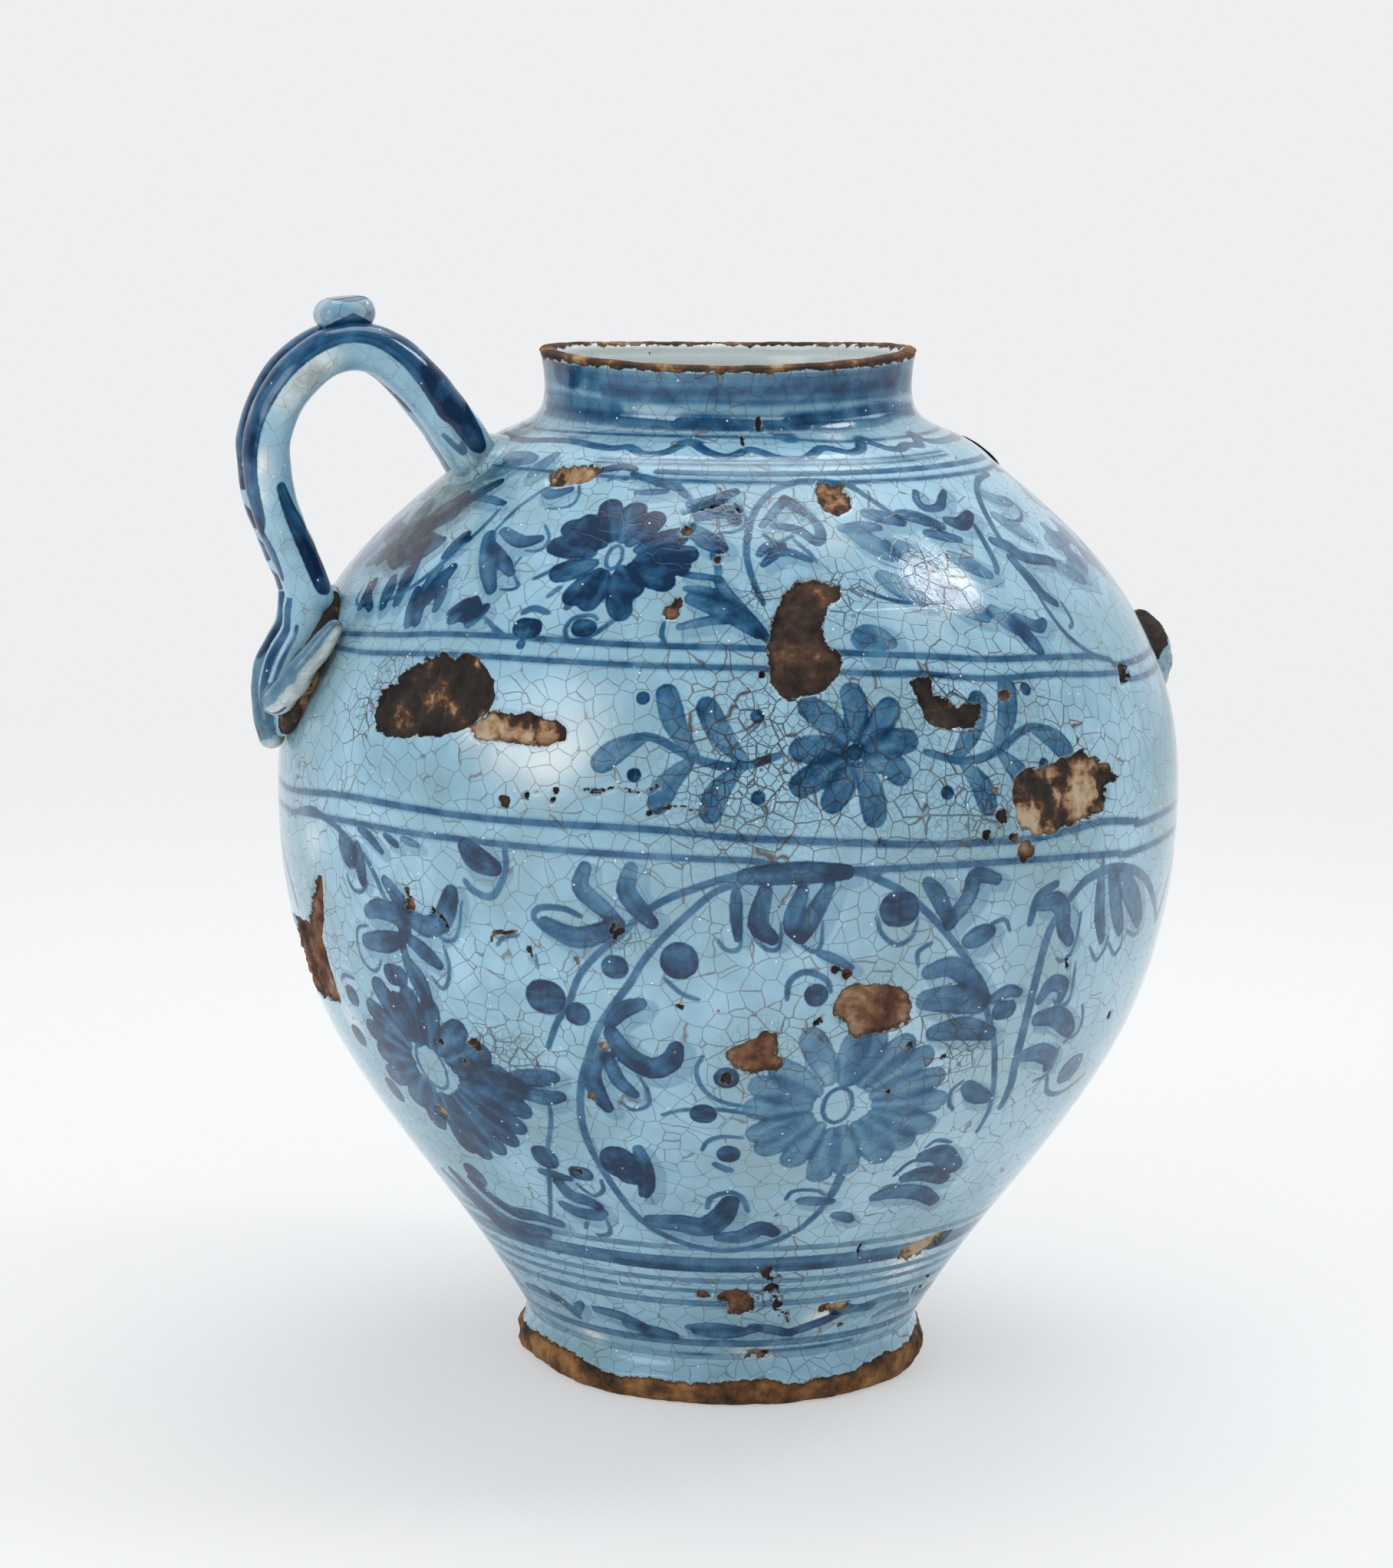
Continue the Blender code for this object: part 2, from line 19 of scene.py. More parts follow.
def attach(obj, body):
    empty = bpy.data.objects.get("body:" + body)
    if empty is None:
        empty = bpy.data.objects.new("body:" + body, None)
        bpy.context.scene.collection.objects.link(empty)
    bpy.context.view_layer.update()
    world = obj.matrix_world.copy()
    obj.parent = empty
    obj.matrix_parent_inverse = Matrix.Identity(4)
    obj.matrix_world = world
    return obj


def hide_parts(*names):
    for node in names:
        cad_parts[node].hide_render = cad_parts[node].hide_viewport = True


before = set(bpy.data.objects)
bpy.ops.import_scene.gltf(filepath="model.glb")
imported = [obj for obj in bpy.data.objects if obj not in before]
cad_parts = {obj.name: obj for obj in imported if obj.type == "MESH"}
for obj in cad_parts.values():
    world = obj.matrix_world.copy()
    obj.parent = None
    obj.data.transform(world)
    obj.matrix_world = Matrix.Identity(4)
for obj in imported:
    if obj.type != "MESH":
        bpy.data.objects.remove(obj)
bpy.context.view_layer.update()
MM = 0.001
print("solids in the frame:", len(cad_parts))

# %% [markdown]
# ## Camera
# The jug is seen from a little above, turned so that the whole handle points left and slightly to the back. The
# place of the camera was worked out from the photograph: 1.2 m away, 371 mm above the table, looking down 9.4
# degrees. Its axes are put together by hand, because the pot's own turn of 15 degrees, the pitch and the small
# roll are then each one number.

# %% Camera
PHOTO_WIDTH, FOCAL_PIXELS, SENSOR_WIDTH = 1816.0, 5343.0, 36.0
VIEW_TURN = math.radians(15.0)
CAMERA_SIDE, CAMERA_BACK, CAMERA_HEIGHT = -2.1, 1200.0, 371.0
YAW, PITCH, ROLL = math.radians(-0.43), math.radians(9.4), math.radians(1.3)

UP = Vector((0.0, 0.0, 1.0))
SIDEWAYS = Vector((math.cos(VIEW_TURN), -math.sin(VIEW_TURN), 0.0))
AWAY = Vector((math.sin(VIEW_TURN), math.cos(VIEW_TURN), 0.0))


def put_in_scene(thing):
    bpy.context.scene.collection.objects.link(thing)
    return thing


def aim_camera():
    ahead = math.sin(YAW) * SIDEWAYS + math.cos(YAW) * AWAY
    level = math.cos(YAW) * SIDEWAYS - math.sin(YAW) * AWAY
    forward = math.cos(PITCH) * ahead - math.sin(PITCH) * UP
    upright = math.sin(PITCH) * ahead + math.cos(PITCH) * UP
    right = math.cos(ROLL) * level + math.sin(ROLL) * upright
    top = math.cos(ROLL) * upright - math.sin(ROLL) * level
    pose = Matrix((right, top, -forward)).transposed().to_4x4()
    pose.translation = (CAMERA_SIDE * SIDEWAYS - CAMERA_BACK * AWAY + CAMERA_HEIGHT * UP) * MM
    data = bpy.data.cameras.new("camera")
    data.sensor_fit = "HORIZONTAL"
    data.sensor_width = SENSOR_WIDTH
    data.lens = FOCAL_PIXELS / PHOTO_WIDTH * SENSOR_WIDTH
    camera = put_in_scene(bpy.data.objects.new("camera", data))
    camera.matrix_world = pose
    bpy.context.scene.camera = camera
    return camera


print("camera at", [round(value, 3) for value in aim_camera().matrix_world.translation])

# %% [markdown]
# ## Colours and nodes
# Colours are written as on a paint chart, in sRGB hex, and one function turns them to the linear values that
# Blender mixes. One helper adds a node, sets it and plugs it in, so that a material reads from top to bottom.

# %% Helpers for materials


def linear(code):
    """An sRGB hex code as linear red, green, blue and alpha."""
    parts = [int(code[i:i + 2], 16) / 255.0 for i in (1, 3, 5)]
    return (*[p / 12.92 if p <= 0.04045 else ((p + 0.055) / 1.055) ** 2.4 for p in parts], 1.0)


def add(tree, kind, settings=None, plugs=(), out=0):
    """Adds a node and returns one of its outputs. Settings are its own properties, and stops are the (place, hex
    code) of a colour ramp. Plugs are values or sockets for its inputs, in their order, or by name or number."""
    node = tree.nodes.new("ShaderNode" + kind)
    for name, value in (settings or {}).items():
        if name != "stops":
            setattr(node, name, value)
            continue
        elements = node.color_ramp.elements
        while len(elements) < len(value):
            elements.new(0.5)
        for element, (place, code) in zip(elements, value):
            element.position, element.color = place, linear(code)
    for name, value in plugs.items() if isinstance(plugs, dict) else enumerate(plugs):
        if isinstance(value, bpy.types.NodeSocket):
            tree.links.new(value, node.inputs[name])
        else:
            node.inputs[name].default_value = value
    return node.outputs[out]


SMOOTH = {"interpolation_type": "SMOOTHSTEP"}
PLUS, TIMES, TIMES_PLUS, LARGER, OVER = ({"operation": word} for word in (
    "ADD", "MULTIPLY", "MULTIPLY_ADD", "MAXIMUM", "GREATER_THAN"))

# %% [markdown]
# ## Floor and light
# The photograph was taken on a white table in front of a white wall, with a small softbox high up at the right, a
# large one at the left, a little above the jug, and a sheet of light overhead. Their reflections in the glaze say
# where they stood. The floor is a plain pale sheet that keeps the jug's shadow near it. Farther out it fades to the
# colour of the wall, which is the world's, so no horizon shows.

# %% Floor
WALL_COLOUR, SHEET_COLOUR = "#EEEFF0", "#EDEEEE"
FLOOR_SIZE = 12.0
FADE_START, FADE_END, NEAR_GLOW = 0.45, 1.5, 0.46


def make_floor():
    shape = bmesh.new()
    bmesh.ops.create_grid(shape, x_segments=2, y_segments=2, size=FLOOR_SIZE / 2.0)
    mesh = bpy.data.meshes.new("floor")
    shape.to_mesh(mesh)
    shape.free()
    floor = put_in_scene(bpy.data.objects.new("floor", mesh))
    material = bpy.data.materials.new("white_table_sheet")
    material.use_nodes = True
    tree = material.node_tree
    tree.nodes.clear()
    node = partial(add, tree)
    far = node("VectorMath", {"operation": "LENGTH"}, (node("TexCoord", out="Object"),), out="Value")
    fade = node("MapRange", SMOOTH, (far, FADE_START, FADE_END))
    share = node("MapRange", None, (fade, 0.0, 1.0, NEAR_GLOW, 1.0))
    share = node("Math", TIMES, (share, node("LightPath", out="Is Camera Ray")))
    sheet = node("BsdfDiffuse", None, {"Color": linear(SHEET_COLOUR)})
    glow = node("Emission", None, {"Color": linear(WALL_COLOUR)})
    output = tree.nodes.new("ShaderNodeOutputMaterial")
    tree.links.new(node("MixShader", None, (share, sheet, glow)), output.inputs["Surface"])
    mesh.materials.append(material)
    return floor


print("floor", make_floor().name)

# %% Light
LAMP_TARGET = Vector((0.0, 0.0, 0.19))
LAMPS = {
    # name: (degrees to the right of the camera, degrees up, metres away, width, height, watts)
    "right_softbox": (97.0, 53.0, 1.25, 0.40, 0.40, 5.2),
    "left_softbox": (-46.0, 24.0, 1.6, 1.1, 0.95, 9.6),
    "top_sheet": (175.0, 72.0, 1.6, 1.6, 1.2, 18.0),
}
# how much of its width is the lamp's bright middle, and where its light ends
LAMP_CORE, LAMP_EDGE = 0.28, 0.52


def hang_lamp(name, turn, rise, distance, width, height, watts):
    """A softbox: brightest in its middle, as a lamp behind cloth is."""
    turn, rise = math.radians(turn), math.radians(rise)
    way = math.cos(rise) * (math.sin(turn) * SIDEWAYS - math.cos(turn) * AWAY) + math.sin(rise) * UP
    data = bpy.data.lights.new(name, "AREA")
    data.shape = "RECTANGLE"
    data.size, data.size_y, data.energy = width, height, watts
    lamp = put_in_scene(bpy.data.objects.new(name, data))
    lamp.location = LAMP_TARGET + distance * way
    lamp.rotation_euler = way.to_track_quat("Z", "Y").to_euler()
    data.use_nodes = True
    node = partial(add, data.node_tree)
    spot = node("NewGeometry", out="Position")
    off = node("VectorMath", {"operation": "DISTANCE"}, (spot, lamp.location), out="Value")
    glow = node("MapRange", SMOOTH, (off, LAMP_CORE * width, LAMP_EDGE * width, 1.0, 0.0))
    data.node_tree.links.new(glow, data.node_tree.nodes["Emission"].inputs["Strength"])


for lamp_name, lamp_values in LAMPS.items():
    hang_lamp(lamp_name, *lamp_values)

WORLD_FILL, DARK_SIDE, BRIGHT_SIDE = 0.84, 0.18, 0.95
DARK_ENDS, BRIGHT_STARTS = -0.25, 0.85


def light_world():
    """The wall's colour behind the jug. The room on the camera's side is darker, as the reflections show."""
    world = bpy.data.worlds.new("studio")
    bpy.context.scene.world = world
    world.use_nodes = True
    tree = world.node_tree
    tree.nodes.clear()
    node = partial(add, tree)
    back = node("VectorMath", {"operation": "DOT_PRODUCT"}, (node("TexCoord", out="Generated"), AWAY), out="Value")
    wall = node("MapRange", SMOOTH, (back, DARK_ENDS, BRIGHT_STARTS, DARK_SIDE, BRIGHT_SIDE))
    glossy, seen = node("LightPath", out="Is Glossy Ray"), node("LightPath", out="Is Camera Ray")
    strength = node("Mix", None, {"Factor": glossy, "A": WORLD_FILL, "B": wall})
    strength = node("Mix", None, {"Factor": seen, "A": strength, "B": 1.0})
    output = tree.nodes.new("ShaderNodeOutputWorld")
    tree.links.new(node("Background", None, (linear(WALL_COLOUR), strength)), output.inputs["Surface"])


light_world()
bpy.context.scene.view_settings.view_transform = "Standard"
print("lamps:", ", ".join(LAMPS))

# %% [markdown]
# ## The pot's outline
# A pot from the wheel is a turned form: one outline spun about its axis. The outline is the one that the solids
# have, three Bezier curves from the foot's waist over the belly and the shoulder to the neck, and a short one up
# to the lip. The wet pot leaned a little towards its handle, so every point is moved after the spin by a lean and
# a dip that grow with its height.

# %% Outline
MOUTH_HEIGHT, LIP_HEIGHT = 301.0, 4.5
NECK_JOINT_HEIGHT, BELLY_HEIGHT, FOOT_HEIGHT = 281.3, 174.6, 13.5
MOUTH_RADIUS, BELLY_RADIUS, WAIST_RADIUS, FLANGE_RADIUS, FOOT_EDGE_RADIUS = 55.0, 132.8, 58.0, 61.4, 57.5
WALL_AT_FOOT, WALL_AT_MOUTH = 8.0, 5.4
LEAN = (0.0, 1.35, 1.9, 5.0)
DIP = (0.0, 0.0, 0.4, 1.2)
KNOTS = [
    # (radius, height, heading in degrees, Bezier handle before it and after it in mm)
    (WAIST_RADIUS, FOOT_HEIGHT, 60.5, 0.0, 73.7), (BELLY_RADIUS, BELLY_HEIGHT, 90.0, 80.5, 57.7),
    (76.3, 270.5, 136.2, 21.3, 14.9), (53.5, 290.5, 90.0, 13.6, 3.5), (MOUTH_RADIUS, MOUTH_HEIGHT, 71.0, 2.8, 0.0),
]


def bezier(corners, count):
    share = np.linspace(0.0, 1.0, count)[:, None]
    a, b, c, d = (np.array(corner, float) for corner in corners)
    return (1 - share) ** 3 * a + 3 * (1 - share) ** 2 * share * b + 3 * (1 - share) * share ** 2 * c + share ** 3 * d


def make_outline(steps=299):
    spots, ways = np.array([knot[:2] for knot in KNOTS]), np.radians([knot[2] for knot in KNOTS])
    headings = np.stack([np.cos(ways), np.sin(ways)], axis=1)
    runs = []
    for i in range(len(KNOTS) - 1):
        leaving, arriving = spots[i] + KNOTS[i][4] * headings[i], spots[i + 1] - KNOTS[i + 1][3] * headings[i + 1]
        runs.append(bezier((spots[i], leaving, arriving, spots[i + 1]), steps + 1)[:-1])
    return np.vstack(runs + [spots[-1]])


def lengths_along(path):
    return np.concatenate([[0.0], np.cumsum(np.linalg.norm(np.diff(path, axis=0), axis=1))])


OUTLINE = make_outline()
ARC = lengths_along(OUTLINE)


def radius_at(height):
    return np.interp(height, OUTLINE[:, 1], OUTLINE[:, 0])


def arc_at(height):
    return np.interp(height, OUTLINE[:, 1], ARC)


def out_of_wall(height):
    """How far out and how far up a step straight out of the wall goes."""
    rise = radius_at(height + 0.5) - radius_at(height - 0.5)
    length = np.hypot(rise, 1.0)
    return 1.0 / length, -rise / length


def leaned(points):
    """Points in mm, moved as the pot leans."""
    layer = np.clip(points[:, 2] / MOUTH_HEIGHT * 3.0, 0.0, 3.0)
    moved = points.copy()
    moved[:, 0] -= np.interp(layer, range(4), LEAN)
    moved[:, 2] += points[:, 0] * np.interp(layer, range(4), np.tan(np.radians(DIP)))
    return moved


print("outline length", round(ARC[-1], 1), "mm")

# %% [markdown]
# ## Turning a piece
# A turned form is an outline carried round an axis. The Spin operator would do it, but takes half a minute for the
# thousand steps that these fine meshes need, so a flat grid is made and rolled up instead: its columns go round the
# axis, its rows follow the outline, and the edges that meet are merged. An outline that closes on itself gives a
# ring of clay, and one that starts and ends on the axis gives a closed lump, such as a straight roll.

# %% Turning


def mesh_of(name, shape):
    mesh = bpy.data.meshes.new(name)
    shape.to_mesh(mesh)
    shape.free()
    return mesh


def places(mesh):
    spots = np.empty(len(mesh.vertices) * 3, np.float32)
    mesh.vertices.foreach_get("co", spots)
    return spots.reshape(-1, 3).astype(float)


def move_to(mesh, points):
    mesh.vertices.foreach_set("co", points.astype(np.float32).ravel())
    mesh.update()


def turned(profile, columns, closed=True):
    """A mesh in mm, rolled up about Z from (radius, height) points."""
    profile = np.array(profile, float)
    rows = len(profile) if closed else len(profile) - 1
    shape = bmesh.new()
    bmesh.ops.create_grid(shape, x_segments=columns, y_segments=rows, size=0.5)
    flat = mesh_of("flat", shape)
    spots = places(flat)
    column = np.rint((spots[:, 0] + 0.5) * columns)
    row = np.rint((spots[:, 1] + 0.5) * rows).astype(int) % len(profile)
    turn = 2.0 * np.pi * (column % columns) / columns
    radius, height = profile[row, 0], profile[row, 1]
    move_to(flat, np.stack([radius * np.cos(turn), radius * np.sin(turn), height], axis=1))
    shape = bmesh.new()
    shape.from_mesh(flat)
    bpy.data.meshes.remove(flat)
    edge = [vert for vert in shape.verts if vert.is_boundary]
    bmesh.ops.remove_doubles(shape, verts=edge, dist=1e-4)
    bmesh.ops.recalc_face_normals(shape, faces=shape.faces)
    if shape.calc_volume(signed=True) < 0.0:
        bmesh.ops.reverse_faces(shape, faces=shape.faces)
    return shape


def unit(ways):
    return ways / np.maximum(np.linalg.norm(ways, axis=1), 1e-6)[:, None]


# %% [markdown]
# ## Rough surfaces
# Broken clay, luting and worn edges aren't smooth. Their relief is a sum of a few fixed waves of random heading,
# each finer than the last, which costs little on a million points and is the same on every run.

# %% Roughness
DICE = np.random.default_rng(7)


def make_waves(size, octaves, each=7):
    """Waves for rough(): (heading times frequency, phase, weight). Size is the coarsest wave's length in mm."""
    waves = []
    for octave in range(octaves):
        for _ in range(each):
            way = DICE.normal(size=3)
            way *= 2.0 * math.pi * 2.0 ** octave * DICE.uniform(0.7, 1.3) / (size * np.linalg.norm(way))
            waves.append((way, DICE.uniform(0.0, 2.0 * math.pi), 0.6 ** octave))
    return waves


# the fifth set isn't used, and is drawn so that the last one stays as it is
BREAK_WAVES, LUMP_WAVES, EDGE_WAVES, THROW_WAVES, _, SOFT_WAVES = (make_waves(size, octaves) for size, octaves in (
    (9.0, 5), (16.0, 5), (7.0, 3), (90.0, 2), (60.0, 3), (15.0, 2)))


def rough(points, waves):
    """Between about -1 and 1 at each point."""
    total = sum(weight * np.sin(points @ way + phase) for way, phase, weight in waves)
    return np.clip(total / math.sqrt(2.2 * sum(weight * weight for *_, weight in waves)), -1.3, 1.3)


# %% [markdown]
# ## The painter's brush
# The painting was done on the raw glaze with a soft brush and thinned cobalt, and sank in during firing. It isn't
# a picture laid on the jug: each stroke is a path over the surface, in degrees round the pot and mm above the
# table, with a width in mm along the wall. For every point of the mesh the script keeps how far the nearest stroke's
# edge is, negative inside it, and how strong the paint is. The glaze material turns that distance into a crisp
# edge, so the line stays sharp although the mesh is coarser than the line. One stroke that is leaf-shaped, one
# that is fat at its end like a drop, and one thin line are all the shapes that the brush made here.

# %% Canvas
# the distances that a canvas keeps, in mm, and the amounts
DISTANCES = ("wash", "line", "veil", "chip")
LAYERS = DISTANCES + ("tone", "pale", "rust", "brown", "white", "craze", "grime")
CLEAR, PLAIN_CRAZE = 8.0, 0.42
ROUND = math.pi / 180.0


def make_canvas(points, outside=None):
    """For each point of a turned piece: its turn and height, how many mm one degree is there, and the layers."""
    outside = np.ones(len(points), bool) if outside is None else outside
    canvas = {"turn": np.degrees(np.arctan2(points[:, 0], -points[:, 1])) + math.degrees(VIEW_TURN),
              "height": points[:, 2], "arc": arc_at(points[:, 2]), "outside": outside,
              "scale": np.hypot(points[:, 0], points[:, 1]) * ROUND, "measure": arc_at, "girth": radius_at,
              "low": points[outside, 2].min(), "high": points[outside, 2].max()}
    for layer in LAYERS:
        canvas[layer] = np.full(len(points), CLEAR if layer in DISTANCES else 0.0)
    canvas["craze"] += PLAIN_CRAZE
    return canvas


def finish_piece(name, mesh, points, canvas, material, replaced, sharp=None):
    """Stores the layers, puts the points in place, in metres, and hands the piece to the frame."""
    for layer in LAYERS:
        stored = mesh.attributes.new(layer, "FLOAT", "POINT")
        stored.data.foreach_set("value", np.asarray(canvas[layer], np.float32))
    move_to(mesh, leaned(points) * MM)
    mesh.shade_smooth()
    if sharp:
        mesh.set_sharp_from_angle(angle=math.radians(sharp))
    mesh.materials.append(material)
    piece = put_in_scene(bpy.data.objects.new(name, mesh))
    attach(piece, "root")
    if replaced:
        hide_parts(replaced)
    print(name, len(mesh.polygons), "faces")
    return piece


# %% Brush
EDGE_REACH, LINE_SPREAD = 5.0, 1.3
PRESSURE = {
    "leaf": lambda t: 0.52 + 0.48 * np.sin(np.pi * (0.12 + 0.80 * t)) ** 0.9,
    "drop": lambda t: 0.34 + 0.66 * np.sin(np.pi * (0.06 + 0.60 * t)) ** 1.1,
    "line": lambda t: 0.75 + 0.25 * np.sin(np.pi * t) ** 0.5,
    "band": lambda t: np.ones_like(t),
}


def curved(points, steps=4):
    """A smooth path (Catmull-Rom) through the points."""
    spots = np.array(points, float)
    if len(spots) < 3:
        return np.vstack([spots[0] + (spots[1] - spots[0]) * t for t in np.linspace(0, 1, 2 * steps + 1)])
    ends = np.vstack([2 * spots[0] - spots[1], spots, 2 * spots[-1] - spots[-2]])
    path = []
    for p0, p1, p2, p3 in zip(ends, ends[1:], ends[2:], ends[3:]):
        for t in np.linspace(0.0, 1.0, steps, endpoint=False):
            path.append(0.5 * (2 * p1 + (p2 - p0) * t + (2 * p0 - 5 * p1 + 4 * p2 - p3) * t * t
                               + (3 * p1 - p0 - 3 * p2 + p3) * t ** 3))
    return np.vstack(path + [spots[-1]])


def wrapped(degrees):
    return (degrees + 180.0) % 360.0 - 180.0


def near_path(canvas, path, reach):
    """Which of the canvas's points can be within reach of a path."""
    low, high = path.min(axis=0), path.max(axis=0)
    if high[1] + reach < canvas["low"] or low[1] - reach > canvas["high"]:
        return np.zeros(0, int)
    middle, half = (low[0] + high[0]) / 2.0, (high[0] - low[0]) / 2.0
    near = (canvas["height"] > low[1] - reach) & (canvas["height"] < high[1] + reach) & canvas["outside"]
    near &= np.abs(wrapped(canvas["turn"] - middle)) * canvas["scale"] < half * canvas["scale"] + reach
    return np.nonzero(near)[0]


def measured(canvas, path, reach, halves=None):
    """The points near a path that is halves wide to each side, and for each of them the distance to its edge in mm
    along the wall, how far along the path it is (0 to 1), and how many mm to which side of it."""
    near = near_path(canvas, path, reach)
    halves = np.zeros(len(path)) if halves is None else halves
    turn, arc, scale = (canvas[key][near] for key in ("turn", "arc", "scale"))
    best, along, aside = np.full(len(near), 1e3), np.zeros(len(near)), np.zeros(len(near))
    arcs = canvas["measure"](path[:, 1])
    for i in range(len(path) - 1 if len(near) else 0):
        x, y = wrapped(turn - path[i, 0]) * scale, arc - arcs[i]
        along_x, along_y = (path[i + 1, 0] - path[i, 0]) * scale, arcs[i + 1] - arcs[i]
        length = along_x ** 2 + along_y ** 2 + 1e-9
        share = np.clip((x * along_x + y * along_y) / length, 0.0, 1.0)
        half = halves[i] + share * (halves[i + 1] - halves[i])
        distance = np.hypot(x - share * along_x, y - share * along_y) - half
        closer = distance < best
        best = np.where(closer, distance, best)
        along = np.where(closer, (i + share) / (len(path) - 1), along)
        aside = np.where(closer, (x * along_y - y * along_x) / np.sqrt(length), aside)
    return near, best, along, aside


def brush(canvas, kind, width, points, strength=0.62, layer=None):
    """One stroke. Lines go to the line layer, the broader ones to the wash layer, whose strength builds up. A stroke
    has streaks from the brush's hairs, more paint on one side, and a puddle where the brush was lifted."""
    path = curved(points)
    width *= LINE_SPREAD if kind == "line" else 1.0
    halves = width / 2.0 * PRESSURE[kind](np.linspace(0.0, 1.0, len(path)))
    near, distance, along, aside = measured(canvas, path, width / 2.0 + EDGE_REACH, halves)
    layer = layer or ("line" if kind == "line" else "wash")
    canvas[layer][near] = np.minimum(canvas[layer][near], distance)
    if layer == "wash":
        first, last = path[0], path[-1]
        hairs = 0.07 * np.sin(1.9 * aside + 5.0 * first[0] + 2.0 * along)
        hairs += 0.05 * np.sin(4.3 * aside + 3.0 * last[1] + 5.0 * along)
        load = 0.10 * np.clip(aside * 2.0 / width, -1.0, 1.0) * math.cos(first[0] + last[1])
        load += 0.08 * np.sin(9.0 * along + first[1]) if kind == "band" else 0.34 * (along - 0.55)
        cover = np.clip(strength * (1.0 + hairs + load), 0.0, 0.97) * np.clip((1.4 - distance) / 1.3, 0.0, 1.0)
        canvas["tone"][near] = 1.0 - (1.0 - canvas["tone"][near]) * (1.0 - cover)


def wet_leaf(canvas, width, points, strength):
    """A leaf with a paler, wider wash that ran out beside it."""
    brush(canvas, "leaf", 1.08 * width, points, strength)
    brush(canvas, "leaf", 1.5 * width + 0.8, [(turn + 1.0, height - 1.4) for turn, height in points], layer="veil")


def blob(canvas, turn, height, wide, tall, strength=0.75):
    """A dab: half its width is in degrees, and half its height in mm."""
    scale = float(canvas["girth"](height)) * ROUND
    across, tall = 2.0 * wide * scale, 2.0 * tall
    half = abs(tall - across) / 2.0
    if tall > across:
        points = [(turn, height - half), (turn, height + half)]
    else:
        points = [(turn - half / scale, height), (turn + half / scale, height)]
    brush(canvas, "band", min(tall, across), points, strength)


def flower(canvas, heart, tips, width, strength, ring):
    """Fat petals from a pale heart to each tip, and a thin ring round the heart."""
    for tip in tips:
        inner, bend = ([heart[i] + part[i] * (tip[i] - heart[i]) for i in (0, 1)]
                       for part in ((0.38, 0.38), (0.7, 0.72)))
        brush(canvas, "drop", width, [inner, bend, tip], strength)
    scale = float(radius_at(heart[1])) * ROUND
    loop = [(heart[0] + ring / scale * math.cos(t), heart[1] + 1.3 * ring * math.sin(t))
            for t in np.linspace(0.0, 2.0 * math.pi, 9)]
    brush(canvas, "line", 1.1, loop)


# %% [markdown]
# ## Painted friezes
# Three rings of ornament run round the jug between double lines: leaves and a flower on the shoulder, a plain
# band round the middle, and a leafy scroll with larger flowers round the belly. The strokes below are grouped by
# frieze, as (width in mm, strength, points) for a leaf and (width, points) for a line. The back isn't seen in the
# photograph, so it repeats the same groups, turned and mirrored, as a painter who works round a pot repeats them.

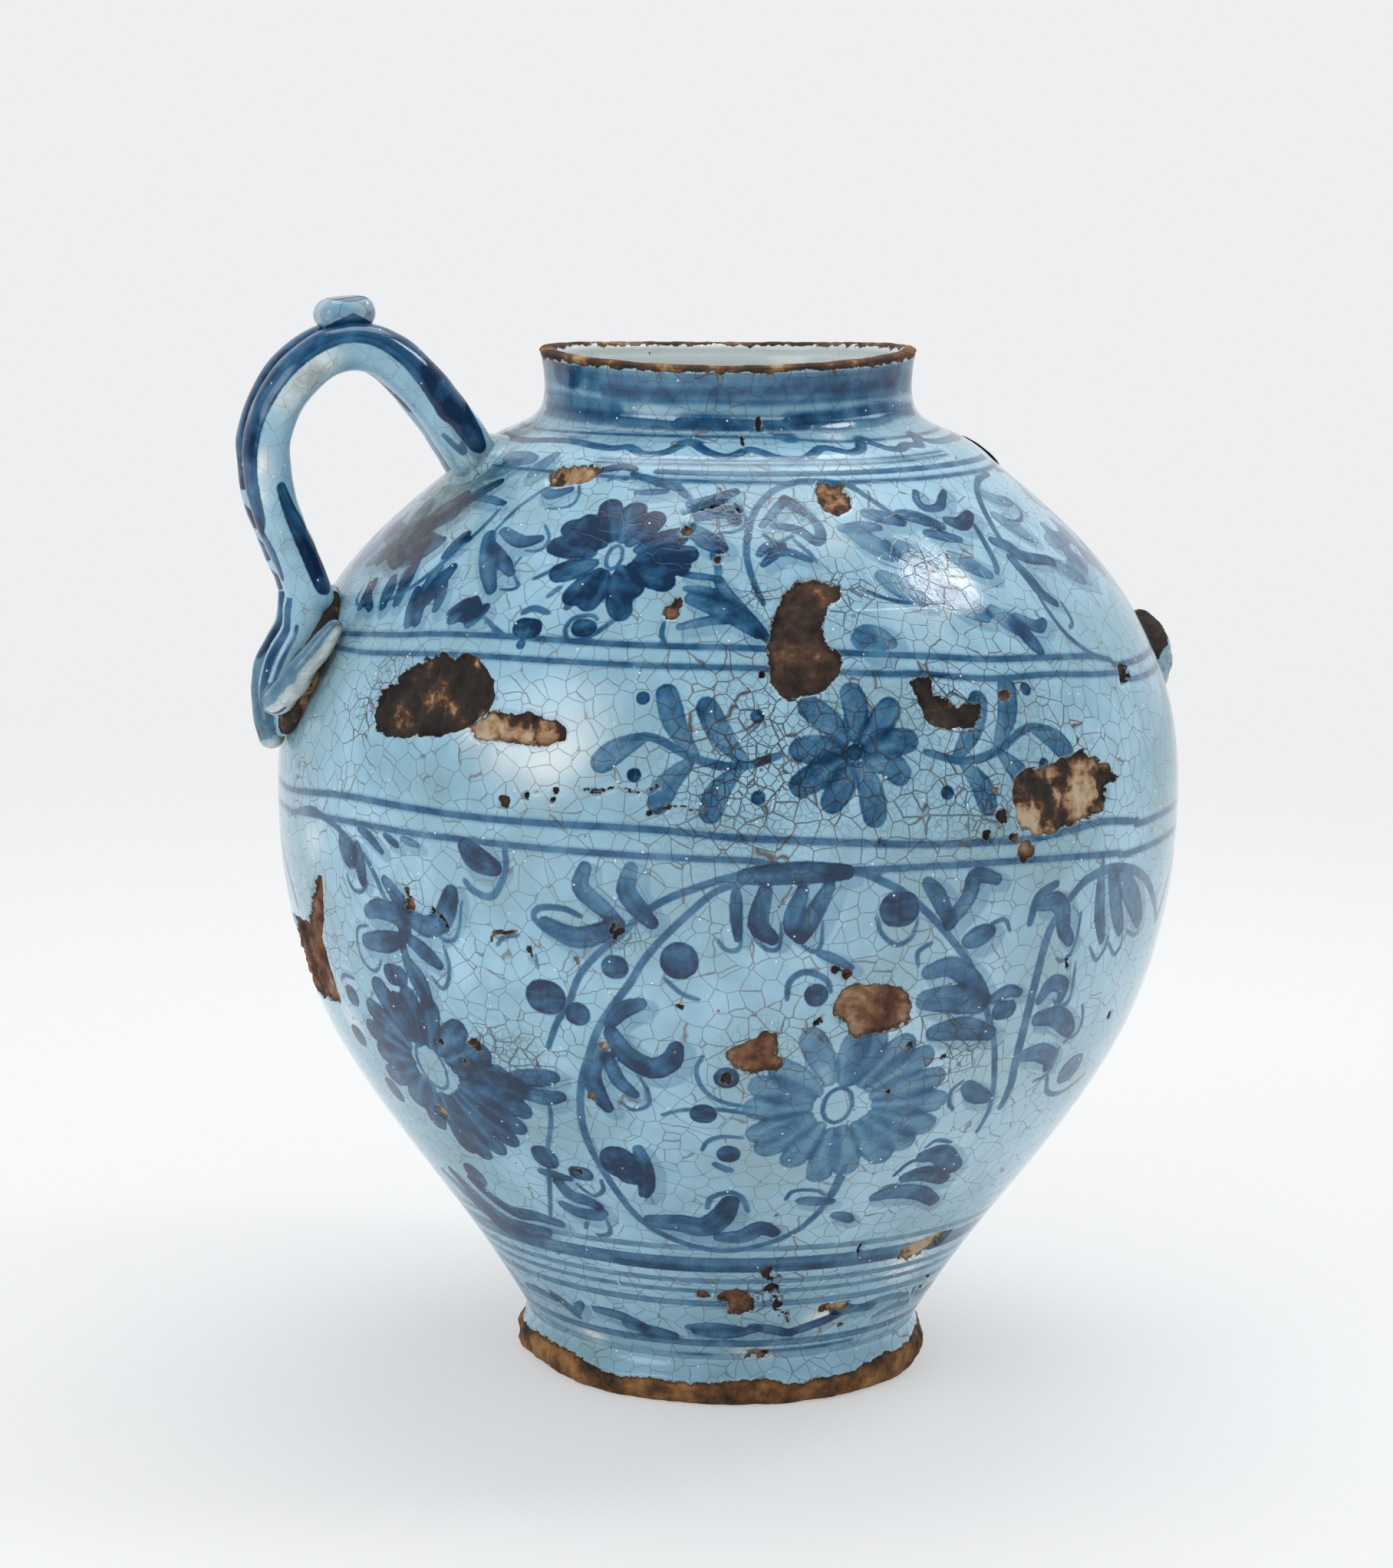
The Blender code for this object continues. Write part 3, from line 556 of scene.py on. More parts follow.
# %% Shoulder frieze
SHOULDER_LEAVES = [
    # left flower and the sprays beside it
    (7, 0.7, (-66, 251), (-60.5, 262)), (7, 0.7, (-66, 251), (-57.5, 257)), (6, 0.7, (-65, 250), (-55.5, 250.5)),
    (6, 0.7, (-66, 248), (-57.5, 246)), (6, 0.7, (-66, 246), (-61, 243)), (8, 0.7, (-72, 258), (-66, 251)),
    (8, 0.7, (-76, 250), (-68, 249)), (7, 0.7, (-72, 242), (-67, 247)), (7, 0.8, (-68, 243), (-65.2, 253)),
    (6, 0.75, (-58.8, 244), (-54.2, 250.5)), (5, 0.75, (-50, 247.5), (-49, 253)),
    (6, 0.7, (-61.8, 254), (-56.8, 261)), (5, 0.7, (-58.8, 261), (-52.8, 266.5)),
    (5, 0.75, (-63.2, 231), (-64.2, 237.5)), (5, 0.75, (-57, 232.5), (-59.2, 239.5)),
    (5, 0.75, (-54, 234), (-56, 244.5)), (5.5, 0.8, (-48.2, 234.5), (-46.5, 244.5)),
    (4, 0.7, (-49, 229), (-51.2, 238)), (5, 0.8, (-41, 232), (-38.2, 237)), (4.5, 0.75, (-37.8, 231.5), (-36, 236)),
    (6, 0.4, (-60, 267.5), (-53, 271)), (6, 0.4, (-58, 273), (-48.5, 273)), (5, 0.4, (-45, 269.5), (-42.8, 274.5)),
    (3, 0.6, (-56, 262), (-51, 262.2), (-46, 261.5)), (5, 0.65, (-49.5, 244), (-49, 236), (-47.5, 230)),
    (4, 0.65, (-47.5, 243), (-45.5, 238), (-45, 234)), (5, 0.6, (-59, 239), (-57, 234.5)),
    (4, 0.6, (-57, 242), (-55, 238)), (4, 0.65, (-65, 236.5), (-63, 233.5), (-60, 231)),
    (4, 0.6, (-38, 265.3), (-35.5, 264.8), (-32.5, 266.3)), (4.5, 0.7, (-41, 255), (-36, 252.8), (-32.6, 253.8)),
    (5.5, 0.75, (-43.5, 253.5), (-40, 247), (-36.5, 240.5)), (4.5, 0.7, (-41, 251), (-37, 247.5), (-34.5, 245)),
    (3, 0.6, (-42, 233.5), (-40, 236.5), (-38.5, 237)), (4, 0.65, (-38.5, 237.5), (-37.5, 235), (-39, 232.5)),
    # leaf over the big flower
    (3, 0.8, (-28, 271.5), (-23, 272.8), (-20, 272.2)), (3, 0.7, (-20, 271), (-15, 269.5), (-10, 268), (-8, 266)),
    (2.5, 0.6, (-18, 266.5), (-12, 267)),
    # between the flower and the arc
    (4, 0.65, (-7, 264), (-3, 265), (1.5, 267.3)), (5, 0.7, (-5, 261), (0, 262.5), (1.5, 260)),
    (6, 0.7, (-6, 258), (-3, 255), (-1, 253.5)), (2.5, 0.6, (-7, 247), (-4, 246.5), (-1, 246)),
    (3, 0.6, (-6, 243.5), (-3, 243), (-1, 241)), (6, 0.7, (-5, 241), (0, 238), (4, 233)),
    (3, 0.6, (-6.5, 234), (-3, 235.5), (1, 236)), (4, 0.6, (-1.5, 246), (0, 242), (3, 236), (5.5, 231)),
    # inside the arc
    (3, 0.6, (6, 259), (9, 263), (11, 265.5)), (4, 0.7, (11, 265.5), (14, 262)),
    (3, 0.6, (5, 252), (6.5, 254), (9, 254.5)), (3, 0.6, (9, 254), (5.5, 249.5)),
    (3, 0.6, (7, 252), (10, 252.5), (13, 250.5)), (6, 0.35, (17.5, 231), (20, 228)), (6, 0.35, (19, 233), (22, 230)),
    # right of the arc
    (5, 0.6, (26, 261.5), (29, 260.5), (32, 259)), (5, 0.65, (33, 261), (36, 260), (40, 257.5)),
    (4, 0.45, (20, 258), (24, 258.5), (27, 258)), (4, 0.6, (36, 256), (42, 254)),
    (3, 0.7, (40, 266), (38.8, 264), (39.5, 262), (43, 262), (45.5, 264), (47.5, 265.5)),
    (5, 0.85, (42.5, 258.5), (45, 257.5), (49, 259.5)), (5, 0.7, (49.5, 252.5), (52, 251), (54, 248), (60.5, 246)),
    (4.5, 0.7, (50.5, 248), (51.5, 243), (52, 239), (54, 236)), (5, 0.4, (58, 264), (62, 261.5), (66, 261)),
    (5, 0.6, (43, 232), (44.5, 228), (45.5, 225)), (4, 0.6, (44, 234), (47, 231), (49, 232)),
    (8, 0.35, (68, 240), (70, 247), (70, 253)), (7, 0.35, (66, 243), (73, 244)), (7, 0.35, (66, 250), (74, 250)),
    (5, 0.3, (30, 246), (33, 243), (36, 241)), (7, 0.42, (22, 257), (27, 251)), (7, 0.38, (28, 254), (33, 248)),
    (7, 0.38, (24, 246), (29, 240)), (7, 0.4, (33, 241), (38, 235)), (6, 0.4, (38, 250), (43, 245)),
    (6, 0.42, (40, 236), (44, 230)), (6, 0.35, (56, 258), (60, 252)), (6, 0.35, (60, 246), (66, 240)),
]
SHOULDER_LINES = [
    (1.6, (-46, 260), (-46.5, 255), (-48, 250), (-50, 244), (-53, 238), (-57, 233.5)),
    (1.0, (-67, 236), (-66, 232), (-63, 230.5)),
    (1.3, (-43, 254), (-42.4, 258), (-41.2, 262), (-38, 266.5), (-34, 267.8)),
    (1.0, (-31, 267.5), (-29.8, 265), (-30.2, 262.5), (-33, 261.5), (-35.2, 261.2)),
    (1.0, (-33.2, 257.3), (-31, 254.5), (-30.8, 252), (-32, 250.8), (-34, 250.7)),
    (1.0, (-34.2, 249), (-34.5, 246), (-33, 243.5), (-32, 241.8), (-33.5, 240.8), (-35, 240.8)),
    (1.3, (-36.5, 234.5), (-33, 231), (-30.5, 229)), (1.2, (-30, 244), (-28, 246), (-27, 247.5)),
    (1.5, (-26.5, 240), (-25, 242.5)), (2.0, (-23, 237.5), (-22.3, 240)),
    (1.3, (-13, 244), (-13.5, 241), (-15, 236.5), (-18, 231.5), (-20, 230)),
    (1.8, (-29.5, 235.5), (-28, 236.8), (-25.5, 236)),
    (1.2, (-21.5, 229.5), (-22.3, 232), (-21.5, 235), (-19, 236), (-18, 235)),
    (1.0, (-25, 269), (-23.5, 270), (-21, 269.5)), (1.4, (-10, 269), (-7, 265), (-5.5, 260)),
    (1.0, (1.3, 264.5), (3, 261.5), (3, 259), (1, 257.5), (-1, 257.2)),
    (1.0, (-1.5, 257.5), (-0.5, 255), (-0.5, 253), (-2, 252.8)), (1.8, (-2.5, 252), (-1.5, 249), (-1.5, 246)),
    (1.3, (-8.7, 235), (-8.8, 232), (-8.3, 230)),
    (1.7, (5, 240), (3.7, 246), (3, 252), (3.6, 258), (5.5, 263.5), (9, 267.5), (14, 269.6), (19, 269.7), (25, 268.5),
     (28, 265.5), (31, 261.5), (33, 259)),
    (2.6, (8, 259), (12, 258), (15, 255), (16, 258), (15, 261.5)), (1.2, (6, 257), (8, 255), (11, 256.5)),
    (1.2, (11, 255.5), (13, 252.5), (14, 250)), (1.8, (48, 257), (47, 252), (46, 247), (45, 245)),
    (1.8, (70, 268), (62, 267), (57, 264), (54, 260), (52, 255), (51.5, 252)),
    (1.2, (55.5, 236), (55.5, 231), (54, 229.5)), (1.5, (51, 238), (51.5, 232), (53, 227), (56, 222.5), (58, 221)),
    (1.0, (58, 257), (62, 256.3), (66, 258), (67, 261)), (1.2, (20, 243), (25, 240), (32, 239)),
]
SHOULDER_BLOBS = [
    (-48, 252, 1.4, 1.4, 0.85), (-28, 231.7, 2.3, 3.3, 0.85), (-28.2, 227.6, 0.7, 1.6, 0.85),
    (-19.7, 232.8, 1.9, 2.9, 0.75), (18.5, 232, 1.6, 3, 0.35),
]
FLOWER_TIPS = [
    (-22, 262.5), (-17, 262), (-13, 260), (-8.5, 256), (-6.5, 251.8), (-7.5, 249), (-9.5, 245), (-14, 243),
    (-15, 237.5), (-20, 239.5), (-22.5, 240.5), (-26, 246), (-28.5, 252.5), (-27.5, 257), (-25, 258.5),
]

# %% Belly frieze
SCROLL_LINES = [
    # the outer stem, the inner circle and the left stem
    (1.8, (-22.5, 118), (-20.8, 126), (-19, 132), (-17.5, 140), (-15, 147), (-12, 153), (-10, 158), (-7, 163),
     (-3, 167), (1, 170), (6, 171.5), (10, 172), (15, 171), (18, 168.5), (21.5, 164), (25, 157), (28, 150), (31, 142),
     (33, 134), (35, 126), (36.5, 120), (38, 112), (39.5, 104), (40.5, 97), (40.3, 90)),
    (1.9, (3, 169), (-1, 166), (-4, 160), (-7, 153), (-9.5, 146), (-11, 140), (-13.5, 132), (-15.5, 125), (-17, 117),
     (-18.3, 110), (-19.3, 102), (-19.7, 95), (-19.5, 88), (-18.5, 80), (-17, 72), (-15, 65), (-12, 60), (-8, 56.5),
     (-4, 54.5), (0, 53.5), (5, 54.5), (10, 57), (14, 61), (16.5, 66), (17.5, 70)),
    (1.3, (-24.5, 113), (-24, 103), (-24.5, 95), (-26, 88), (-27.5, 82), (-28.5, 76), (-31, 66), (-33, 59.5)),
    (1.6, (-70, 169.3), (-65, 172.3), (-61.5, 173.7), (-58.5, 172.7), (-55, 171), (-53, 169), (-50.8, 167),
     (-48.5, 163.9), (-47, 160), (-45.4, 154.6), (-43.8, 151.5)),
    (1.0, (-53, 158.5), (-52.3, 155.4), (-50.8, 154), (-49.2, 155.5), (-48.5, 158.5)),
    (1.1, (-32.7, 157.7), (-33.3, 150), (-34.2, 146.2), (-35.8, 145.5), (-37, 147.7)),
    (1.0, (-49.2, 145), (-51.5, 143.5), (-52.2, 139.3), (-51.7, 134), (-50, 131.5), (-48.5, 132.6), (-47.5, 135.6)),
    (1.1, (-36, 143.9), (-35.4, 138.6), (-36, 133.3), (-37.1, 131), (-38.5, 134)),
    (1.8, (-26.7, 175), (-26.5, 168), (-27.8, 161.5), (-29, 159.8), (-31, 161), (-32.2, 163.5)),
    (1.2, (-59, 125), (-57.5, 127), (-55, 127)),
    (1.5, (-22, 153), (-23, 156), (-22, 158.5), (-19, 158.7), (-17, 157)), (1.2, (-7, 141), (-5, 137), (-3, 135.5)),
    (1.1, (-11, 113), (-9.8, 108), (-9.8, 103), (-12, 101), (-13.5, 103)),
    (1.2, (-2.5, 119), (-3.3, 115), (-2.8, 110), (-1, 106), (2, 104), (5, 103.5)),
    (1.2, (-8, 100), (-5, 102), (0, 102.5), (4, 101), (6, 100)), (1.1, (-1, 153), (0, 150), (1.5, 149.7), (1.9, 153)),
    (1.1, (3.3, 153), (5, 150), (6.3, 150.8), (6.5, 157.7)),
    (1.1, (8.8, 151.5), (10.4, 149.3), (11.2, 151.5), (11.3, 157.7)),
    (1.2, (17.7, 158.5), (18.5, 153.8), (20.4, 150.4), (22.3, 152.3), (23, 157)),
    (1.5, (7.5, 136), (7.7, 141), (9.5, 143.7), (12, 141.5), (12.7, 138)),
    (1.2, (23.5, 144), (23.3, 148), (25, 150.3)), (2.3, (18.8, 83), (18.5, 77), (18, 72)),
    (1.2, (-2.8, 89), (-2, 92), (0, 93.8), (3, 93.5)), (2.0, (-1, 84.5), (0.5, 83), (1.5, 82.5)),
    (1.2, (10.5, 72), (11.5, 75), (15, 75), (17, 73)), (1.2, (33, 154), (35, 155), (36, 151.5)),
    (1.2, (33.5, 108), (32, 105), (32.5, 101), (33.5, 99)),
    (2.6, (45, 156.5), (43, 152), (42, 146), (41.5, 138), (41.3, 128), (41.5, 118), (42, 110), (42.8, 104),
     (42.8, 97)),
    (2.4, (39, 153), (40, 160), (43, 163)),
    (1.2, (48, 153.5), (47.8, 146), (47, 141.5), (45.5, 140.3), (44.5, 141.5)),
    (2.4, (45, 157), (48, 162), (52, 164), (56, 163.5), (61, 160.5), (65, 156), (69, 149), (72, 142)),
    (1.6, (51.7, 164), (51.7, 167)), (1.2, (51, 142.5), (53, 138), (54.5, 140.5), (55, 144)),
    (1.2, (55.5, 142), (57.5, 138), (59, 140), (59, 143)), (1.2, (60, 144), (63, 141.5), (64.5, 143)),
    (1.2, (48.5, 139), (49, 130), (48.7, 127), (47, 127), (45.5, 129)),
    (1.2, (52.5, 125), (53.8, 120), (53.5, 116), (51, 114.5)),
    (1.2, (50.3, 113), (50.8, 108), (50, 104.5), (47.5, 103.5)), (1.5, (50.5, 104), (53, 98), (58, 96), (64, 99)),
    (1.6, (-2.3, 69), (-1.5, 73), (1.5, 74.8), (3.5, 72.5), (4.5, 68)), (1.2, (31.5, 87), (33, 89), (36, 87.5)),
    (1.2, (28, 78), (30, 82.5), (34, 82.5)), (1.2, (26.5, 72.5), (28, 74.5), (32, 73.5)),
    (1.2, (-19.3, 76), (-19.5, 72.5), (-21.5, 70), (-23, 71.5), (-24, 73.5)),
    (1.2, (-20.8, 62), (-20.8, 58), (-22, 55.8), (-24, 55.8)), (1.2, (-25, 60), (-26, 57.5)),
    (1.2, (-28, 146.5), (-27, 149), (-25, 150)), (1.0, (-23, 145), (-22.7, 141)),
]
SCROLL_LEAVES = [
    (7, 0.7, (-53.5, 168), (-52, 162.5)), (5, 0.75, (-50.5, 167), (-49.5, 157.5)),
    (3, 0.6, (-50, 172.3), (-48, 170.8), (-45.6, 167.3)), (2.5, 0.6, (-45, 172.3), (-42.7, 170)),
    (2.5, 0.5, (-42, 172.3), (-39.2, 171.2)), (4.5, 0.7, (-45.2, 159.3), (-41.5, 152.5)),
    (6.5, 0.75, (-42, 151.5), (-38.5, 148.5), (-35.8, 151.5), (-34.6, 157), (-34.2, 159.7)),
    (6, 0.7, (-48.8, 149.2), (-46.5, 150.8), (-43.5, 150), (-42, 146.2)),
    (6.5, 0.75, (-50, 140), (-46, 141.5), (-43.5, 143)),
    (3.5, 0.6, (-43, 144.6), (-42.5, 137), (-41.5, 130.4), (-40.4, 125.2)),
    (5, 0.75, (-41.5, 143.9), (-39.2, 141), (-37, 138)), (4, 0.7, (-42, 137), (-40.4, 132.5), (-39.6, 127.4)),
    (7, 0.9, (-32, 173), (-30.5, 170), (-28, 168)), (6, 0.7, (-28.5, 107), (-25, 108), (-22.5, 109)),
    (5.5, 0.7, (-28.5, 103), (-25, 102), (-22, 103)),
    (5, 0.6, (-16.5, 170.5), (-17, 165), (-14.5, 160), (-12.5, 156)),
    (5.5, 0.65, (-11, 171), (-11.5, 165), (-10, 160), (-8.5, 156.5)),
    (6, 0.7, (-21.5, 154), (-18, 151), (-15, 152.5), (-12.5, 155.5)),
    (5, 0.75, (-10, 133.5), (-12.5, 131), (-14, 127)),
    (6.5, 0.85, (-13.8, 124), (-12, 118), (-9, 114.5), (-6.5, 117), (-5.8, 121)),
    (5.5, 0.7, (-15.5, 119), (-17, 111), (-16.5, 105), (-15.5, 101)),
    (4.5, 0.7, (-14.5, 117), (-13.5, 110), (-11.5, 106)), (6, 0.9, (2, 170), (8, 171), (14, 171)),
    (3.5, 0.7, (1.2, 166), (1.2, 160.8), (1.5, 153)), (5.5, 0.75, (4.5, 166), (3.8, 157), (5.5, 153)),
    (5, 0.75, (8.8, 166), (7.7, 157.7), (8.5, 153.5)), (5, 0.75, (11.9, 167), (10, 158.5), (8.8, 153)),
    (3, 0.6, (11, 149), (13, 147), (15, 144.5)), (4, 0.6, (13, 71.5), (15.5, 71), (18.5, 70.5)),
    (4, 0.6, (20, 65.5), (22, 64.5), (23.5, 63)), (5, 0.65, (27, 155), (29.5, 162), (30.5, 168), (33.5, 166.5)),
    (5, 0.65, (24, 167), (25.5, 163), (27.3, 155)), (6, 0.7, (30, 150), (33, 152)),
    (6, 0.65, (25, 142), (28, 143), (31, 139), (33.5, 133)), (8, 0.65, (25, 134), (29, 133.5), (33, 131)),
    (7, 0.65, (27, 124), (31, 124.5), (35.5, 122)), (4, 0.6, (34.5, 132), (37, 134), (39, 133)),
    (6, 0.65, (34.5, 106), (36.5, 103), (39, 101)),
    (6, 0.7, (40.5, 158), (43, 158), (44.5, 155), (45, 150), (46.5, 146)),
    (5, 0.6, (51.5, 162), (52, 152), (53.5, 144)), (6, 0.65, (54, 162), (56, 152), (58, 145)),
    (8, 0.6, (56.5, 161), (60.5, 153), (63.5, 146)), (5, 0.65, (43, 130), (44.5, 134), (47, 132.5), (47, 129)),
    (6.5, 0.7, (43.5, 124), (47, 123.5), (50, 120), (51.5, 117.5)),
    (6, 0.65, (43, 113), (46, 113), (49, 110.5), (49.5, 107.5)), (3.5, 0.6, (-30, 76), (-25, 75)),
    (5, 0.7, (-27.5, 73), (-26, 69), (-23.5, 68), (-21.5, 66.5)),
    (5, 0.65, (-28.5, 65), (-26, 63), (-22.5, 63), (-21, 64.5)),
    (5, 0.8, (-12, 88), (-11.6, 82), (-11.8, 76), (-12.5, 72.5)),
    (5, 0.75, (-31.5, 57.5), (-37, 58.5), (-43, 58), (-48, 62.5), (-50, 66)),
    (6, 0.75, (-36.5, 53), (-44, 52), (-50, 55), (-54, 61), (-56, 66)),
    (5, 0.7, (-41, 48.5), (-47, 48.5), (-52, 52), (-58, 60), (-61, 64)),
    (8, 0.75, (-12, 63), (-7, 63), (-3, 62), (0, 66), (1.5, 71.5)), (6, 0.75, (0, 58.5), (4, 59), (7, 62), (9.5, 60)),
    (7, 0.75, (32, 84), (35, 84), (38, 80), (40, 78)), (6, 0.75, (30.5, 77), (34, 77.5), (39, 74)),
    (6, 0.7, (26.5, 71), (30, 72), (35, 70.5), (40, 66)),
]
SCROLL_BLOBS = [
    (-45.2, 132, 2.3, 3.4, 0.8), (-57, 121, 1.7, 3.4, 0.8), (-60, 107.5, 2, 3.5, 0.8), (-57, 92, 2, 4.4, 0.8),
    (-13, 143.5, 1.7, 3.5, 0.8), (-5.3, 146.3, 2.3, 5.4, 0.95), (-22, 133, 2.7, 5.2, 0.8), (-18, 129, 1.7, 3.6, 0.75),
    (0.5, 112.5, 1.7, 3.5, 0.8), (-2.5, 101, 1.9, 3.4, 0.8), (20.6, 160.3, 2.6, 5, 0.8), (11, 137, 1.5, 3.4, 0.8),
    (1, 88, 1.8, 3.4, 0.8), (37, 128.5, 2, 3, 0.7), (56.5, 104, 3, 5, 0.6), (-28, 81.5, 2.3, 4.7, 0.8),
    (-22.5, 77.5, 2.2, 3, 0.8), (-15.5, 83, 3, 6.4, 0.95), (-14, 78.5, 2.4, 3.4, 0.8), (-47.5, 68.5, 2.5, 4.7, 0.8),
]
LEFT_TIPS = [
    (-49.2, 126.5), (-46, 123.5), (-43.5, 126), (-40, 124), (-36, 119), (-33, 113), (-31, 107), (-28.8, 103),
    (-29, 97), (-31, 91), (-33.5, 86), (-37, 82), (-41, 79), (-44, 80), (-48.5, 86), (-50.5, 92.5), (-54, 98),
    (-53.5, 105), (-54, 112), (-52, 119),
]
RIGHT_TIPS = [
    (11, 124), (16.5, 122.5), (19, 123.5), (23, 121), (26, 117), (28.5, 110), (30, 102.5), (29.5, 95), (27, 90),
    (24, 86), (19, 83), (15, 81), (10.5, 86.5), (6.5, 90.5), (5.2, 95), (4.5, 103), (5, 110), (7.5, 115),
]

# %% Painting a frieze
FRIEZES = [
    # copies round the pot, as (turn, how much narrower, negative if mirrored), leaves, lines, dabs, and flowers as
    # (heart, tips, petal width, strength, ring's radius)
    (((0.0, 1.0), (126.0, -0.75), (235.0, 0.75)), SCROLL_LEAVES, SCROLL_LINES, SCROLL_BLOBS,
     [((-43, 105.5), LEFT_TIPS, 8.2, 0.66, 5.5), ((15.5, 103.5), RIGHT_TIPS, 8.6, 0.36, 4.2)]),
    (((0.0, 1.0), (128.0, -0.71), (233.0, 0.71)), SHOULDER_LEAVES, SHOULDER_LINES, SHOULDER_BLOBS,
     [((-18, 250.5), FLOWER_TIPS, 7.6, 0.76, 2.2)]),
]


def moved_round(middle, side):
    """Where a group of strokes goes on the back. Side is how much narrower it is, negative if mirrored."""
    return lambda points: [(middle + side * turn, height) for turn, height in points]


def paint_frieze(canvas, place, leaves, lines, blobs, flowers):
    for width, strength, *points in leaves:
        wet_leaf(canvas, width, place(points), strength)
    for width, *points in lines:
        brush(canvas, "line", width, place(points))
    for turn, height, wide, tall, strength in blobs:
        blob(canvas, *place([(turn, height)])[0], wide, tall, strength)
    for heart, tips, *petals in flowers:
        flower(canvas, place([heart])[0], place(tips), *petals)


# %% [markdown]
# The middle band carries only one loose brush ornament at the front, and again at the back: an open rosette between
# two leafy branches, in the same fat strokes.

# %% Band ornament
ROSETTE_TURNS, ROSETTE_HEIGHT, ROSETTE_STRENGTH = (15.0, 195.0), 202.5, 0.52
PETALS, PETAL_WIDE, PETAL_TALL = 9, 3.6, 8.2
BRANCH = ((9, 202), (14, 199), (19, 201), (24, 206), (28, 205))
# a branch's leaves, from (turn, height) to (turn, height)
BRANCH_LEAVES = [
    (13, 200, 17.5, 214), (14, 198, 17, 187), (19, 202, 22.5, 217), (19.5, 200, 23, 189), (25, 206, 30, 199),
]
BERRIES = ((11.5, 212), (11.5, 191), (25.5, 216), (26, 196))


def rosette_band(canvas, middle):
    """An open nine-petalled rosette with a leafy branch to each side, which fills the band for 58 degrees."""
    for petal in range(PETALS):
        angle = math.radians(10.0 + 360.0 / PETALS * petal + 7.0 * math.sin(5.0 * petal))
        x, y = PETAL_WIDE * math.cos(angle), PETAL_TALL * math.sin(angle)
        points = [(middle + part * x + bend, ROSETTE_HEIGHT + part * y + 1.5 * bend)
                  for part, bend in ((0.5, 0.0), (1.2, 0.4), (1.9 + 0.25 * math.sin(3.0 * petal), 0.0))]
        brush(canvas, "drop", 7.6, points, ROSETTE_STRENGTH)
    blob(canvas, middle, ROSETTE_HEIGHT, 1.0, 2.4, 0.8)
    for side in (-1, 1):
        place = moved_round(middle, side)
        brush(canvas, "line", 2.0, place(BRANCH))
        for turn, height, tip_turn, tip_height in BRANCH_LEAVES:
            bend = ((turn + tip_turn) / 2.0 + 0.6, (height + tip_height) / 2.0)
            brush(canvas, "drop", 7.0, place([(turn, height), bend, (tip_turn, tip_height)]), ROSETTE_STRENGTH)
        for berry in place(BERRIES):
            blob(canvas, *berry, 0.9, 2.0)


# %% Rings
RING_LINES = [
    # (width, points): the shoulder's lines, the double lines over and under the band, and those near the foot
    (1.3, (-60, 279.7), (-30, 280.3), (0, 280.5), (14, 280.2), (30, 279), (60, 279)),
    (0.9, (-30, 274.6), (0, 274.9), (40, 274.7), (60, 275)), (0.9, (-30, 273.6), (0, 273.9), (40, 273.7), (60, 274)),
    (1.2, (-60, 270.3), (-40, 270.5), (-8, 269.8), (40, 269.2), (75, 269)),
    (1.6, (-66, 222.5), (-62, 223.5), (-55, 225), (-50, 226), (-42, 228), (-30, 229.3), (-10, 229.2), (4, 229),
     (25, 226.5), (35, 224.5), (45, 223.3), (55, 221.8), (60, 220), (68, 217.5)),
    (1.5, (-66, 219), (-62, 219.3), (-55, 220), (-48, 221.5), (-40, 223), (-30, 223.9), (-10, 224.2), (5, 224),
     (20, 222.3), (25, 222), (35, 219.5), (45, 219), (55, 217), (62, 215.8), (70, 213)),
    (1.7, (-72, 176), (-65, 177.5), (-60, 179), (-50, 181), (-30, 181.3), (-10, 182), (0, 180.5), (10, 179.5),
     (20, 178), (30, 177), (40, 176.5), (50, 178), (55, 177), (60, 175.5), (65, 174.5)),
    (1.6, (-70, 170), (-60, 172.5), (-50, 173.8), (-40, 174.3), (-30, 174.8), (0, 174.5), (5, 173.3), (10, 172),
     (15, 171.5), (25, 171.5), (35, 171), (45, 169.8), (55, 168), (62, 167)),
    (1.0, (-12, 15.3), (-2, 15.3)), (1.2, (8, 16.8), (24, 16.6), (40, 16.8)),
]
# broad, soft rings: (width, strength, points)
WAVES = [
    (3.5, 0.6, (-60, 277), (-45, 278), (-30, 277), (-25, 277.5), (-20, 276), (-15, 276.5), (-10, 279), (-5, 277),
     (0, 275.8), (5, 277.5), (8, 277), (12, 275.5), (18, 275.3), (24, 277.7), (30, 276.5), (34, 277), (38, 279),
     (42, 277), (46, 276.5), (50, 277.3), (55, 277), (60, 279), (66, 277)),
    (2.2, 0.5, (-15, 271.9), (20, 271.7), (80, 271.6)), (2.6, 0.30, (-60, 53.8), (0, 54.2), (62, 53.8)),
    (6.2, 0.52, (-62, 48.2), (0, 48.4), (62, 48.6)), (2.6, 0.5, (-21, 46.6), (0, 46.4), (61, 46.9)),
    (2.4, 0.32, (-60, 42.4), (62, 42.0)), (2.0, 0.32, (-60, 38.6), (62, 38.4)), (2.8, 0.36, (-60, 34.2), (62, 33.8)),
    (3.0, 0.42, (-60, 19.6), (62, 19.4)), (3.4, 0.16, (-60, 14.4), (62, 14.4)),
]
